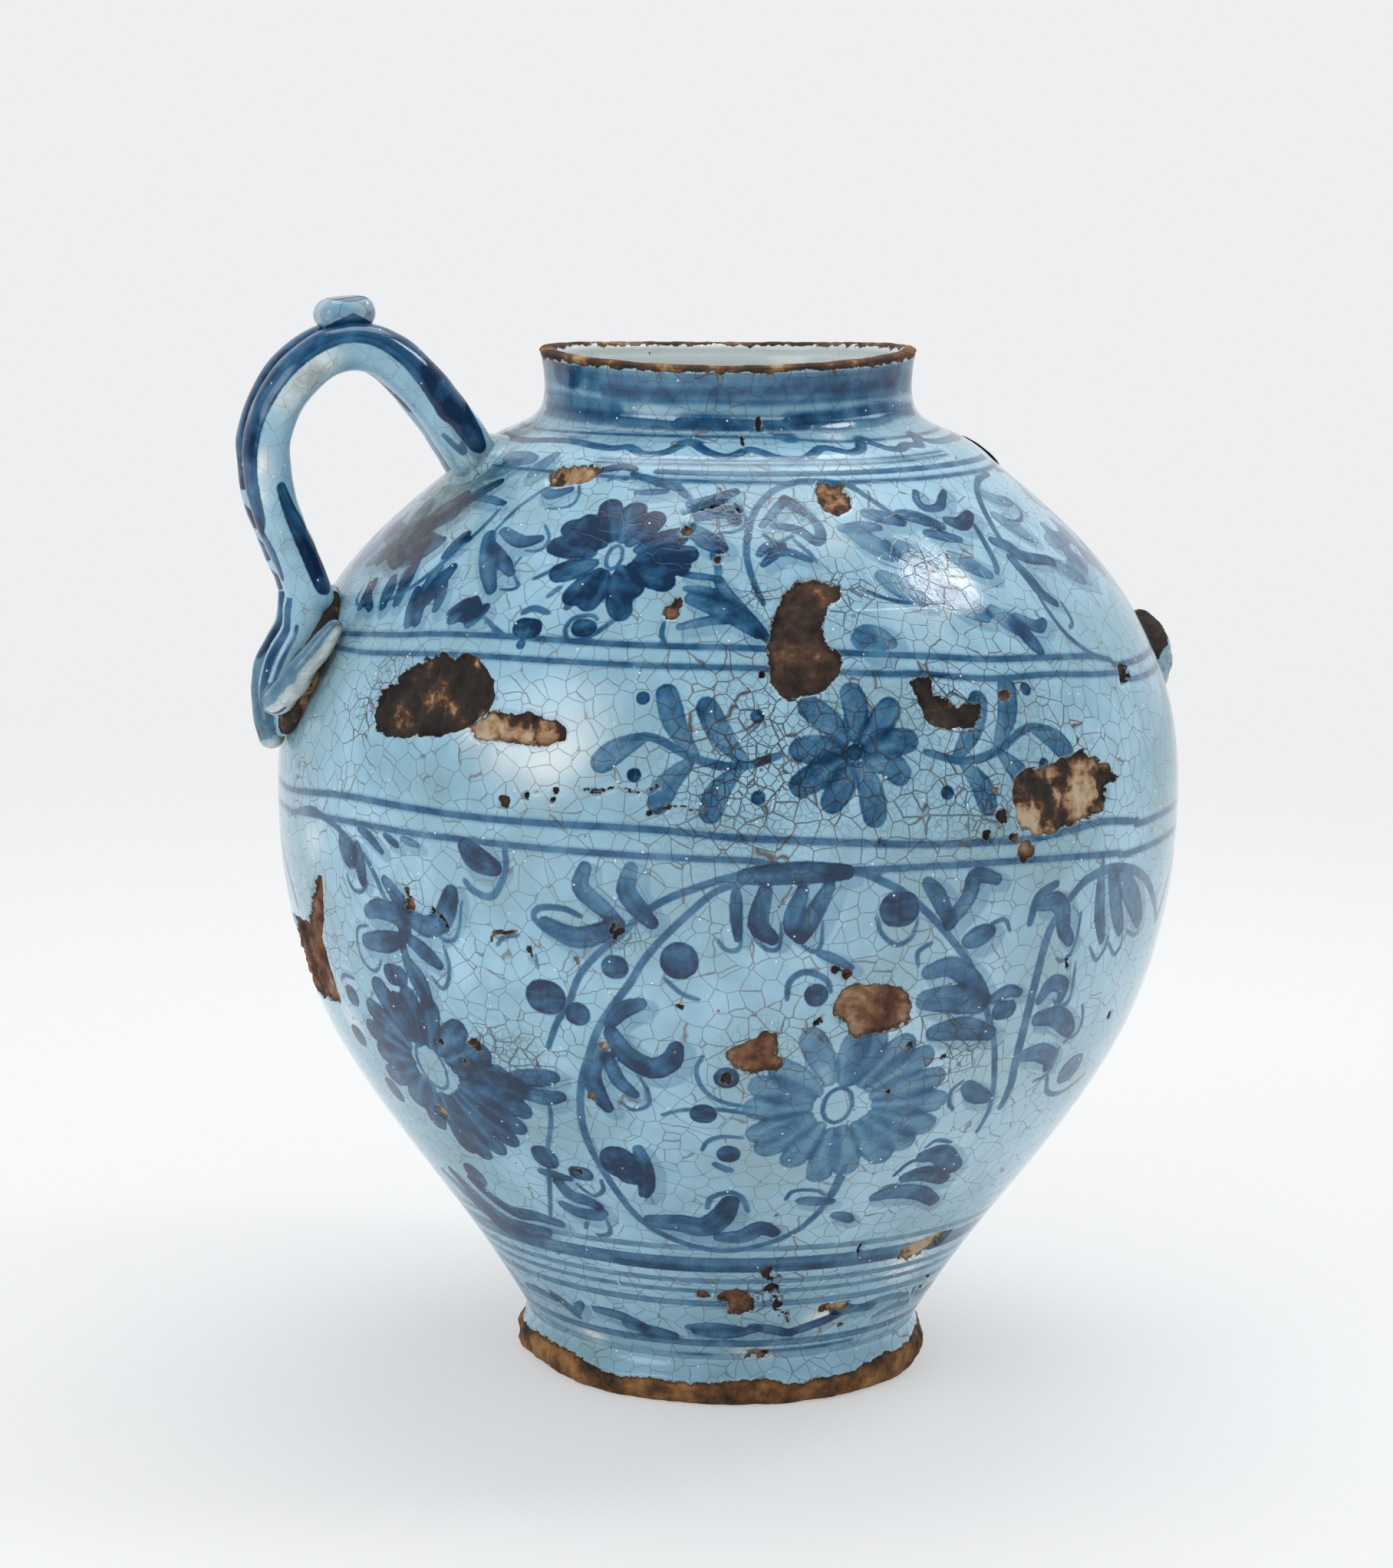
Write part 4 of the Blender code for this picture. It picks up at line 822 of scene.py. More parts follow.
FOOT_LEAVES = [
    (3.4, 0.55, (-60, 27), (-53, 27.5), (-47, 26.5)), (3.6, 0.6, (-47, 28.5), (-43, 25.5), (-40.5, 22.5)),
    (3.4, 0.55, (-41, 23), (-39, 26), (-37, 28)), (4.0, 0.6, (-33, 27), (-26, 26.3), (-20, 24)),
    (4.2, 0.6, (-25, 23.5), (-18, 22.6), (-12, 21.6)), (3.4, 0.5, (-8, 25), (-2, 25.6), (5, 25)),
    (4.2, 0.6, (-6, 23.6), (2, 23.2), (9, 24.6)), (3.8, 0.55, (8, 25.8), (13, 24.4), (19, 22.4)),
    (3.6, 0.55, (17, 22.6), (23, 24.4), (30, 27.4)), (3.8, 0.55, (26, 25), (33, 28.6), (41, 28)),
    (3.0, 0.45, (38, 29.4), (46, 30.2), (54, 29)), (2.6, 0.4, (44, 24), (50, 26), (57, 25.4)),
]
FOOT_LEAF_TURNS = (0.0, 120.0, 240.0)


def all_round(points):
    """Carries a ring's line on round the back, from its right end to its left one."""
    (left, low), (right, high) = points[0], points[-1]
    if right - left < 100.0:
        return points
    return points + [(right + (left + 360.0 - right) * t, high + (low - high) * t) for t in (0.25, 0.5, 0.75, 1.0)]


# %% [markdown]
# The neck was washed with broad strokes: a soft grey-blue over all of it and two darker, overlapping rings.

# %% Neck
NECK_STROKES = [
    (13.0, 0.24, (-90, 292), (0, 292), (90, 292)), (9.0, 0.12, (-90, 281), (0, 281), (90, 281)),
    (5.0, 0.32, (-66, 296), (-40, 294.5), (0, 295), (40, 295), (80, 295.5)),
    (4.4, 0.42, (-2, 292.2), (12, 291.7), (30, 292.3), (60, 292.5), (78, 293)),
    (4.6, 0.4, (30, 294.5), (50, 294.5), (64, 295)), (4.0, 0.5, (19, 294.5), (25.5, 294)),
    (3.0, 0.4, (-40, 292), (-20, 291.6), (0, 292)), (4.5, 0.5, (-64, 296), (-56, 294.5), (-52, 296)),
    (4.6, 0.35, (-74, 287), (-60, 287.4), (-45, 286.6), (-36, 286)),
    (3.0, 0.42, (-72, 284.8), (-50, 284.4), (-30, 283.8), (-10, 283), (10, 283)),
    (3.6, 0.48, (-14, 284), (0, 283.8), (12, 283.4), (22, 283.6)),
    (2.4, 0.5, (18, 284.9), (30, 285.2), (40, 285.7), (53, 286.4), (64, 286), (78, 285)),
    (2.0, 0.35, (20, 282.6), (34, 282.7), (48, 283.2), (62, 284.6), (76, 285)), (3.6, 0.6, (14, 282), (17, 280)),
]


def paint_rings(canvas, strokes):
    for width, strength, *points in strokes:
        brush(canvas, "band", width, all_round(points), strength)


def paint_wall(canvas):
    for width, *points in RING_LINES:
        brush(canvas, "line", width, all_round(points))
        brush(canvas, "band", width + 1.7, all_round(points), layer="veil")
    paint_rings(canvas, WAVES + NECK_STROKES)
    for width, strength, *points in FOOT_LEAVES:
        for turn in FOOT_LEAF_TURNS:
            wet_leaf(canvas, width, moved_round(turn, 1.0)(points), strength)
    for copies, *strokes in FRIEZES:
        for copy in copies:
            paint_frieze(canvas, moved_round(*copy), *strokes)
    for turn in ROSETTE_TURNS:
        rosette_band(canvas, turn)


print("strokes:", sum(len(strokes[1]) + len(strokes[2]) for strokes in FRIEZES))


# %% [markdown]
# ## Materials
# The glaze is a glass made white and light blue with tin, a third of a millimetre thick, over a brown clay. It is
# glossy, its tone drifts from grey-green to clear blue, and it has crackled, with dirt in the cracks. The cells are
# 5 to 8 mm wide, with finer ones where it was hurt, and the real cracks are 0.1 mm wide, drawn here at 0.3 mm so
# that they show. Cobalt stands darkest where the brush left a puddle and along the edges of a stroke. Where
# the glaze has come off, rough clay shows, black where it is dirty and tan or cream where it is fresh. All of this is
# one material, because each finish ends where the next begins, at a distance that the mesh carries. It is built as
# the pot was: the glaze, then coat after coat over it.
# A few coats are painted light: a highlight on the glaze's broken edge and where the lamps are reflected, and shade
# just inside a chip's edge and in the crevice between the handle's rolls.

# %% Tin glaze
MM_TO_NOISE = 1000.0
NOISES = [
    # (what it makes, mm across, detail, roughness)
    ("drift", 40.0, 3.0, 0.5), ("mottle", 8.0, 4.0, 0.5), ("wobble", 1.6, 2.0, 0.5), ("puddle", 7.0, 2.0, 0.5),
    ("bend", 6.0, 2.0, 0.5), ("soil", 5.0, 6.0, 0.74), ("jag", 2.6, 5.0, 0.65), ("grit", 3.0, 8.0, 0.72),
    ("patches", 13.0, 4.0, 0.6),
]
# (mm across a cell, width of its cracks, and from where to where on the craze layer such cells show)
CRACKLE = [(5.6, 0.034, -0.55, 0.7), (2.7, 0.042, 0.45, 1.2)]
CRACK_BEND = 0.0016
# (mm between them, size, share of cells without one, colour)
SPECKS = [(3.5, 0.11, 0.62, "#E4EEF2"), (7.0, 0.06, 0.62, "#1E2322"), (9.0, 0.075, 0.8, "#7A6850")]
GLAZE_TONES = [(0.52, "#84A7B3"), (0.72, "#8DB6CA"), (0.92, "#A0C7DA")]
COBALT_TONES = [(0.0, "#82A9BB"), (0.25, "#6994AB"), (0.5, "#3F7092"), (0.72, "#1F4F75"), (0.95, "#09294A")]
CLAY_TONES = [(0.0, "#211D1B"), (0.50, "#3B312B"), (0.62, "#5A3F2E"), (0.70, "#946A46"), (0.80, "#C09A72"),
              (1.0, "#DCC5A6")]
IRON_TONES = [(0.15, "#352219"), (0.40, "#6B4530"), (0.65, "#956A4C"), (0.95, "#BE9A84")]
WORN_TONES = [(0.1, "#3A281A"), (0.38, "#76502C"), (0.60, "#A2703C"), (0.9, "#C69A62")]
MILK_AND_HIGHLIGHT, RUN_COBALT, FINE_DIRT, OLD_DIRT, GRIME_AND_SHADE_TINT, PALE_EDGE_AND_HIGHLIGHT, CHIP_EDGE_SHADE = (linear(code) for code in (
    "#DEE5E3", "#54839F", "#5C4024", "#2A1708", "#8C9386", "#C3CDCB", "#271C16"))
GLOSS, GRIME_AND_SHADE_GLOSS, CLAY_GLOSS, GLASS_IOR = 0.05, 0.4, 0.85, 1.5


def new_material(name):
    """A material, its shader, add() for its tree, and the place on the piece."""
    material = bpy.data.materials.new(name)
    material.use_nodes = True
    node = partial(add, material.node_tree)
    return material, material.node_tree.nodes["Principled BSDF"], node, node("TexCoord", out="Object")


def plug_in(shader, plugs):
    for name, socket in plugs.items():
        shader.id_data.links.new(socket, shader.inputs[name])


def tin_glaze(name):
    material, shader, node, place = new_material(name)
    stored = {layer: node("Attribute", {"attribute_name": layer}, out="Fac") for layer in LAYERS}
    noise = {key: node("TexNoise", None, {"Vector": place, "Scale": MM_TO_NOISE / size, "Detail": detail,
                                          "Roughness": roughness}) for key, size, detail, roughness in NOISES}
    glaze = node("Math", TIMES_PLUS, (noise["mottle"], 0.45, noise["drift"]))
    glaze = node("ValToRGB", {"stops": GLAZE_TONES}, (glaze,))
    wobble = node("Math", TIMES_PLUS, (noise["wobble"], 0.5, -0.25))
    puddled = node("MapRange", None, (noise["puddle"], 0.3, 0.7, 0.72, 1.24))
    # broad strokes: strength from the mesh, puddled, and a little stronger along their edges
    wash = node("Math", PLUS, (stored["wash"], wobble))
    rim = node("MapRange", SMOOTH, (wash, -1.3, -0.1))
    strength = node("Math", TIMES_PLUS, (rim, 0.10, stored["tone"]))
    # thin lines, and the pale wash that ran out beside a leaf
    line = node("Math", TIMES_PLUS, (wobble, 0.6, stored["line"]))
    line = node("MapRange", SMOOTH, (line, -0.40, 0.35, 1.0, 0.0))
    veil = node("Math", PLUS, (stored["veil"], wobble))
    veil = node("MapRange", SMOOTH, (veil, -0.7, 0.3, 1.0, 0.0))
    inside = node("MapRange", SMOOTH, (wash, -0.42, 0.30, 1.0, 0.0))
    strength, line, veil = (node("Math", TIMES, (node("Math", TIMES, (amount, puddled)), share))
                            for amount, share in ((strength, inside), (line, 0.6), (veil, 0.5)))
    cobalt = node("Math", LARGER, (strength, line))
    # crackle: two sizes of cells, both bent by noise
    craze = stored["craze"]
    bend = noise["bend"].node.outputs["Color"]
    bent = node("Mix", {"data_type": "VECTOR"}, {0: CRACK_BEND, 4: place, 5: bend}, out=1)
    cracks = 0.0
    for cell, width, low, high in CRACKLE:
        edge = node("TexVoronoi", {"feature": "DISTANCE_TO_EDGE"}, {"Vector": bent, "Scale": MM_TO_NOISE / cell})
        wide = node("Math", {"operation": "MULTIPLY_ADD", "use_clamp": True}, (craze, width, 0.6 * width))
        crack = node("MapRange", SMOOTH, (edge, 0.0, wide, 1.0, 0.0))
        crack = node("Math", TIMES, (crack, node("MapRange", None, (craze, low, high))))
        cracks = node("Math", LARGER, (cracks, crack))
    dirt = node("Math", TIMES, (node("MapRange", None, (noise["drift"], 0.35, 0.65, 0.72, 1.0)), cracks))
    # dirt and darkening where the canvas says, in the hollows of a noise; in the crevice between the handle's rolls it
    # is painted shade
    soil = node("Math", TIMES, (noise["soil"], stored["grime"]))
    soil = node("MapRange", SMOOTH, (soil, 0.14, 0.50, 0.0, 0.92))
    # bare clay: a jagged outline, its grit, patches of soot, iron and wear on it, and a painted shade just inside the
    # glaze's broken edge
    jag = node("Math", TIMES_PLUS, (noise["jag"], 3.8, -1.9))
    chip = node("Math", PLUS, (stored["chip"], jag))
    bare = node("MapRange", SMOOTH, (chip, -0.12, 0.10, 1.0, 0.0))
    grit = node("MapRange", None, (noise["grit"], 0.32, 0.68))
    patches = node("MapRange", None, (noise["patches"], 0.37, 0.64, 0.0, 0.66))
    toned = node("Math", PLUS, (node("Math", TIMES_PLUS, (grit, 0.30, patches)), stored["pale"]))
    clay, iron, worn = (node("ValToRGB", {"stops": stops}, (toned,)) for stops in (CLAY_TONES, IRON_TONES, WORN_TONES))
    # painted shade: the clay darkens towards the glaze's edge, in the corner under the broken step
    rim = node("MapRange", SMOOTH, (chip, -1.3, -0.1))
    for share, over in ((stored["rust"], iron), (stored["brown"], worn), (node("Math", TIMES, (rim, 0.7)), CHIP_EDGE_SHADE)):
        clay = node("Mix", {"data_type": "RGBA"}, {0: share, 6: clay, 7: over}, out=2)
    # the coats: (how much shows, colour, how it goes over what is there)
    old = node("MapRange", None, (craze, 0.4, 1.2))
    coats = [
        # milky white, of thin and inner glaze, and on the band and the shoulder also a painted highlight under the
        # lamps' reflections
        (stored["white"], MILK_AND_HIGHLIGHT, "MIX"),
        (veil, RUN_COBALT, "MIX"),
        (node("MapRange", None, (cobalt, 0.0, 0.3)), node("ValToRGB", {"stops": COBALT_TONES}, (cobalt,)), "MIX"),
        (dirt, node("Mix", {"data_type": "RGBA"}, {0: old, 6: FINE_DIRT, 7: OLD_DIRT}, out=2), "DARKEN"),
    ]
    for cell, size, low, code in SPECKS:
        spots = node("TexVoronoi", None, {"Vector": place, "Scale": MM_TO_NOISE / cell})
        chosen = node("SeparateColor", None, (spots.node.outputs["Color"],))
        dot = node("MapRange", SMOOTH, (spots, 0.5 * size, size, 1.0, 0.0))
        coats.append((node("Math", TIMES, (dot, node("Math", OVER, (chosen, low)))), linear(code), "MIX"))
    # the broken edge of the glaze is paler than its face: its own pale section, lightened further as a painted
    # highlight along the edge
    edge = node("MapRange", SMOOTH, (chip, 0.05, 0.35, 0.25, 0.0))
    # the multiplied grey is dirt, and painted shade in the crevice between the handle's rolls
    for share, over, mode in coats + [(soil, GRIME_AND_SHADE_TINT, "MULTIPLY"), (edge, PALE_EDGE_AND_HIGHLIGHT, "MIX"), (bare, clay, "MIX")]:
        glaze = node("Mix", {"data_type": "RGBA", "blend_type": mode}, {0: share, 6: glaze, 7: over}, out=2)
    gloss = node("MapRange", None, (noise["mottle"], 0.35, 0.75, GLOSS, GLOSS + 0.08))
    for share, dull in ((soil, GRIME_AND_SHADE_GLOSS), (bare, CLAY_GLOSS)):
        gloss = node("Mix", None, {0: share, 2: gloss, 3: dull})
    # relief: the glaze's slow swell, open cracks, pits where it is finely crackled, and the clay's grit
    pitted = node("MapRange", None, (craze, 0.43, 1.2, 0.04, 0.5))
    height = 0.0
    for part, share in ((noise["mottle"], 0.10), (cracks, -0.03), (cobalt, 0.02), (pitted, wobble)):
        height = node("Math", TIMES_PLUS, (part, share, height))
    height = node("Mix", None, {0: bare, 2: height, 3: node("Math", TIMES, (grit, 2.1))})
    bump = node("Bump", None, {"Strength": 0.7, "Distance": MM, "Height": height})
    plug_in(shader, {"Base Color": glaze, "Roughness": gloss, "Normal": bump})
    shader.inputs["IOR"].default_value = GLASS_IOR
    return material


TIN_GLAZE = tin_glaze("light_blue_tin_glaze")
print("material", TIN_GLAZE.name, len(TIN_GLAZE.node_tree.nodes), "nodes")

# %% [markdown]
# ## Bare clay
# The underside and the old breaks are fired clay without glaze: brown, matt and gritty, nearly black where hands and
# tables have soiled it. The foot, the lip and the luting under the curls are bare only in part, so they are made of
# the glaze's material, which shows its clay there.

# %% Fired clay
GRAIN_MM, CLAY_RELIEF = 2.4, 0.6


def fired_clay(name, stops):
    material, shader, node, place = new_material(name)
    patches = node("TexNoise", None, {"Vector": place, "Scale": MM_TO_NOISE / (GRAIN_MM * 4.0), "Detail": 4.0})
    grit = node("TexNoise", None, {"Vector": place, "Scale": MM_TO_NOISE / GRAIN_MM, "Detail": 6.0, "Roughness": 0.7})
    both = node("Mix", None, {0: 0.45, 2: patches, 3: grit})
    bump = node("Bump", None, {"Strength": CLAY_RELIEF, "Distance": MM, "Height": grit})
    plug_in(shader, {"Base Color": node("ValToRGB", {"stops": stops}, (both,)),
                     "Roughness": node("MapRange", None, (grit, 0.0, 1.0, 0.7, 0.95)), "Normal": bump})
    return material


BASE_CLAY = fired_clay("worn_base_clay", [(0.38, "#4A3525"), (0.52, "#6B4C33"), (0.66, "#8E6A48")])
BREAK_CLAY = fired_clay("old_break_clay", [(0.38, "#2A2320"), (0.50, "#4A3B30"), (0.60, "#77604A"), (0.72, "#A08C74")])
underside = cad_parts["base_disc"].data.materials
underside.clear()
underside.append(BASE_CLAY)
print("clays:", BASE_CLAY.name, BREAK_CLAY.name)

# %% [markdown]
# ## Where the glaze has come off
# Tin glaze sits on the clay like a shell and springs off in flakes about 1 mm thick. Each flake is drawn by its
# outline. The mesh is pressed in by the glaze's thickness inside it and roughened, so a chip is a real dent with a
# broken floor, and its edge catches the light.

# %% Chips
# how pale the bare clay is and how rusty
CLAYS = {"sooty": (-0.04, 0.35), "dirty": (0.02, 0.0), "mixed": (0.22, 0.0), "fresh": (0.36, 0.0),
         "rust": (0.06, 1.0), "tan": (0.31, 0.0), "rubbed": (0.22, 0.8)}
CHIPS = [
    # (clay, outline): shoulder
    ("dirty", (-40, 270.5), (-38.5, 272), (-35, 272.7), (-32, 272.8), (-29, 272.7), (-27.5, 271.8), (-28, 270.3),
     (-30, 268.8), (-33, 267.8), (-36, 267), (-38.5, 267.3), (-40, 268.8)),
    ("sooty", (8, 282.8), (8.2, 285.2), (9.6, 285.3), (9.9, 282.9), (9, 282.2)),
    ("sooty", (17.5, 267.5), (19, 269.5), (21, 269.3), (23.5, 268.5), (24.3, 266.5), (24, 264), (22.5, 262.2),
     (20.5, 261.3), (18.5, 262.8), (17.6, 265)),
    ("dirty", (61.3, 213), (62, 218), (64, 219), (64.6, 215), (63, 213)),
    # the band: tall one, the big one at the left and the long one beside it
    ("sooty", (10.8, 245.8), (12.5, 246), (14.5, 245.3), (16.8, 244.3), (16.3, 241.5), (14.5, 239.5), (13.4, 237),
     (12.8, 234), (13, 231), (14.3, 229), (15, 226), (14.3, 223.3), (13, 220.5), (12, 218.5), (9.5, 217),
     (7.5, 216.5), (6.3, 217.5), (5.3, 221), (5.2, 226), (5.1, 230), (5.6, 234), (6.2, 237), (7, 240), (8, 242.5),
     (9.2, 244.3)),
    ("dirty", (-49.7, 208), (-49.3, 211.5), (-48, 212.3), (-47.2, 214.5), (-45.8, 217.5), (-44, 219.8),
     (-42.5, 221.8), (-40, 223.8), (-38, 222), (-36.5, 223.8), (-34.5, 223.5), (-32.5, 221), (-31, 218), (-30, 214),
     (-30.5, 210.5), (-32.5, 206.5), (-34, 204.3), (-37, 202), (-40, 201.3), (-43, 199.8), (-46, 199), (-48.5, 199.8),
     (-49.2, 203)),
    ("tan", (-33, 205), (-31.5, 208.5), (-30, 210), (-27, 209.7), (-25, 210.7), (-23.4, 209), (-23, 205),
     (-23.6, 202), (-25, 202), (-28, 202.3), (-31, 201.8), (-32.8, 203.5)),
    ("dirty", (-25.4, 210.4), (-23, 209.8), (-21, 209), (-19.8, 206.5), (-20, 204), (-22, 202), (-25, 202),
     (-25.8, 206)),
    ("dirty", (23.8, 220), (25, 221.5), (26.5, 221), (26.8, 219), (26.5, 217), (28, 216), (28.5, 214.5), (29.5, 213),
     (31, 213.7), (32.8, 213.8), (32.5, 210), (31.8, 207.5), (29, 207.5), (26.5, 207.8), (25, 209.5), (24.6, 213),
     (24, 217)),
    ("mixed", (36, 187), (35.8, 190), (36.3, 193), (38, 195.5), (41, 195.3), (44, 196.3), (46, 197.2), (48.5, 198.3),
     (49.5, 196.5), (51, 195.5), (53, 193.5), (53.6, 190.5), (55, 189.3), (53, 187.8), (52.5, 184.5), (51, 180.5),
     (48, 179.8), (45, 178.5), (42, 177.2), (39, 177.5), (37, 179.5), (36.3, 183)),
    # belly
    ("rubbed", (13.3, 134.5), (14, 138), (15.8, 140), (17.5, 139.5), (19.5, 139), (21.5, 138), (22.8, 136),
     (23.4, 132.5), (23.3, 128.5), (22, 126), (20, 125.3), (18.5, 125.3), (17, 124.3), (15.8, 124.3), (15.5, 126.5),
     (14.8, 128.5), (13.5, 130)),
    ("rust", (0, 120), (1.5, 121.8), (3, 123), (4.3, 124), (4.9, 126.5), (6.5, 125.5), (6.8, 121.5), (6.7, 119),
     (7.7, 117.3), (7, 115), (5, 114), (3, 113.8), (1.8, 115.5), (0.7, 117.5)),
    ("rust", (-60, 155), (-60, 148), (-61, 142), (-62.5, 136), (-62, 125), (-62, 116), (-68, 115), (-76, 113.5),
     (-80, 111), (-84, 112), (-86, 122), (-84, 131), (-80, 135.5), (-73, 137.5), (-67, 138.5), (-65, 143), (-63, 150),
     (-61.5, 155)),
    ("rust", (-0.5, 36.5), (1.5, 38.5), (4, 39.3), (6, 38), (7.5, 35.5), (7.8, 32.5), (7, 30.5), (4.5, 29.8),
     (2, 30.5), (1.5, 32.5), (1.7, 34.3), (0, 34.8)),
    ("fresh", (40, 48.5), (44, 51), (50, 52), (54, 51.3), (53, 48), (49, 45.6), (45, 43.2), (41, 44.2)),
    ("fresh", (26, 30), (29, 32), (34, 31.4), (33, 29), (29, 28)),
    ("fresh", (7, 14.2), (8.4, 17), (12, 17), (15, 15.8), (13, 14.2)),
    # the back, where a pot that has stood and rolled on its side would be hurt
    ("mixed", (150, 168), (151, 176), (156, 179), (162, 176), (165, 170), (163, 163), (157, 160), (152, 162)),
    ("rust", (212, 120), (213, 126), (218, 128), (222, 124), (221, 118), (216, 116)),
    ("dirty", (190, 243), (193, 246), (197, 244), (196, 240), (192, 239)),
]
# small round ones: (clay, turn, height, radius in mm)
PITS = [
    ("fresh", -45.8, 89.5, 2.0), ("fresh", -15, 120, 1.5), ("fresh", -17.5, 103.5, 1.3), ("fresh", -23.2, 77.5, 1.5),
    ("dirty", -40, 114, 1.3), ("sooty", -41, 154, 1.9), ("sooty", -37.5, 153.5, 1.1), ("dirty", -33.8, 115.5, 1.9),
    ("fresh", -17.8, 144.5, 0.9), ("sooty", -12.5, 153.5, 1.2), ("sooty", 0.4, 112, 1.7),
    ("sooty", -36.5, 109.5, 0.9), ("rust", 26.2, 30.5, 1.9), ("rust", 33.2, 23.5, 1.1), ("rust", -4.2, 37, 1.7),
    ("sooty", 24, 121, 1.0), ("sooty", 29.2, 116.5, 1.0), ("dirty", 22.5, 106.5, 1.1), ("fresh", 9.5, 66.5, 0.9),
    ("dirty", 31.8, 179, 1.5), ("dirty", 33, 191, 1.2), ("rust", 37.8, 173, 2.9), ("dirty", 34, 183.5, 1.8),
    ("dirty", 35.8, 177.5, 1.6), ("fresh", 36.8, 215, 1.3), ("sooty", 13.2, 144, 1.2), ("rust", 14.5, 142.5, 1.3),
    ("sooty", -27, 186.5, 1.5), ("sooty", -24.2, 188.5, 1.2), ("sooty", -20.5, 190.4, 1.2),
    ("sooty", -20.7, 188.2, 1.0), ("sooty", -22.8, 190, 0.7), ("sooty", -67, 185, 1.1), ("sooty", -67.8, 181, 0.8),
    ("sooty", -41.5, 157.5, 1.2), ("rust", -7.8, 238, 2.4), ("sooty", -7, 240, 1.6), ("sooty", -7, 257.9, 1.7),
    ("sooty", 59.8, 29.5, 1.6), ("sooty", 59.4, 33, 1.2), ("fresh", -1.5, 251, 1.2), ("dirty", 4.2, 222.5, 1.0),
    ("dirty", 18, 179, 0.9), ("sooty", 62.5, 118, 1.2), ("dirty", 205, 190, 2.2), ("rust", 170, 95, 2.5),
    ("dirty", 240, 150, 1.8), ("sooty", 120, 205, 1.4), ("fresh", 100, 120, 1.6), ("sooty", 260, 245, 1.5),
    ("dirty", 9.6, 45.6, 1.9), ("dirty", 11.6, 39.2, 2.1), ("dirty", 13.6, 33, 1.5), ("mixed", 16.4, 29.6, 0.9),
]
# open cracks with dark dirt in them
SCRATCHES = [
    [(-29, 147), (-28.6, 149.6), (-27, 150.3), (-25.4, 150.8)], [(-23.7, 147), (-23.5, 144), (-22.8, 141)],
    [(-12.6, 157), (-13.4, 153), (-12, 149.6)], [(-36.5, 153.4), (-35.6, 150.5), (-35.3, 148)],
    [(-18, 192.6), (-15.5, 191), (-13, 192.8), (-10.5, 191.6), (-7.5, 193.6)], [(-9, 186), (-6, 188.4), (-3, 187)],
    [(28.4, 53.5), (28.6, 50.5), (29.6, 47.5)], [(56, 31), (57.5, 28), (57, 24)],
    [(-66.5, 214), (-67.2, 210), (-66.4, 206)], [(-8, 262), (-4, 263.6), (0, 264.6), (2.6, 262.4)],
    [(3.6, 281), (4.2, 277)], [(46.5, 141), (47.5, 137)], [(12, 131), (11, 127), (12.4, 123)], [(-7, 134), (-5, 133)],
    [(150, 215), (153, 210), (151, 204)],
    [(10.6, 48), (9, 44.6), (11.4, 41.6), (10.2, 38), (13, 35.4), (12.6, 32), (15.4, 30.4), (17.6, 26)],
    [(12.4, 43.6), (11.2, 40), (13.4, 37.8)],
]
# (turn, height, radius in mm, amount): where the glaze is thin or scratched white, with a painted highlight where the
# lamps are reflected on the band and the shoulder; where its crackle is finer; and dirt round the chips and near the
# foot, and darker spots on the wall by the handle's ends
WHITE_AND_HIGHLIGHT_SPOTS = [
    # the spots at turns -33 to -20 on the band and 18 to 36 on the shoulder are partly whiter glaze and partly painted
    # highlight where the lamps are reflected
    (-20, 202, 10, 0.55), (-28, 199, 7, 0.5), (-23, 195, 7, 0.4), (-33, 203.5, 4, 0.5), (28, 28, 5, 0.9),
    (9, 14.5, 4.5, 1.2), (13, 14, 3.5, 1), (43, 46, 7, 1.1), (25, 90, 55, 0.12), (45, 105, 40, 0.10),
    (46, 41, 6, 1.0), (24, 26, 4, 0.6), (-60, 112, 5, 0.7), (36, 246, 8, 0.3), (29, 240, 8, 0.3), (18, 255, 6, 0.2),
    (-38, 16.5, 4, 1.2), (-62, 165, 6, 0.5),
]
CRAZE_SPOTS = [
    (17, 243, 8, 1.1), (4, 242, 5, 0.9), (26.5, 216, 7, 1.2), (8, 213, 26, 0.55), (0, 190, 22, 0.6),
    (25, 190, 26, 0.45), (-48, 215, 10, 0.6), (-52, 205, 8, 0.6), (32, 186, 8, 1.0), (-27, 113, 10, 0.9),
    (-33, 115, 8, 0.8), (5, 119, 11, 0.9), (20, 132, 14, 0.5), (32, 117, 10, 0.8), (-12, 153, 7, 0.8),
    (0, 263, 8, 0.8), (13, 262, 8, 0.5), (-41, 157, 6, 0.6), (4, 35, 7, 0.8), (12, 38, 8, 0.8), (-66, 180, 12, 0.4),
    (31, 243, 11, 0.4), (36, 250, 8, 0.3), (40, 213, 18, 0.3), (45, 188, 18, 0.45), (-60, 135, 14, 0.5),
    (180, 150, 40, 0.5), (230, 215, 30, 0.5), (120, 100, 30, 0.4),
]
DARKENING_SPOTS = [
    (-72, 266, 22, 0.7), (-66, 215, 13, 0.7), (-70, 195, 16, 0.5), (-56, 262, 18, 0.5), (-60, 246, 16, 0.35),
    (-66, 245, 16, 0.4), (-68, 125, 26, 0.35), (-58, 225, 9, 0.5), (-40, 268, 12, 0.35), (-40, 22, 24, 0.3),
    (58, 27, 14, 0.5), (105, 212, 26, 0.9), (105, 272, 18, 0.7), (34, 181, 8, 0.5), (-75, 278, 14, 0.7),
    (12, 240, 16, 0.35), (-20, 235, 14, 0.2), (0, 263, 9, 0.5), (-30, 114, 10, 0.45), (5, 119, 8, 0.4),
    (32, 117, 9, 0.45), (18, 190, 16, 0.2),
]
CHIP_DEPTH, CHIP_REACH = 1.3, 4.0


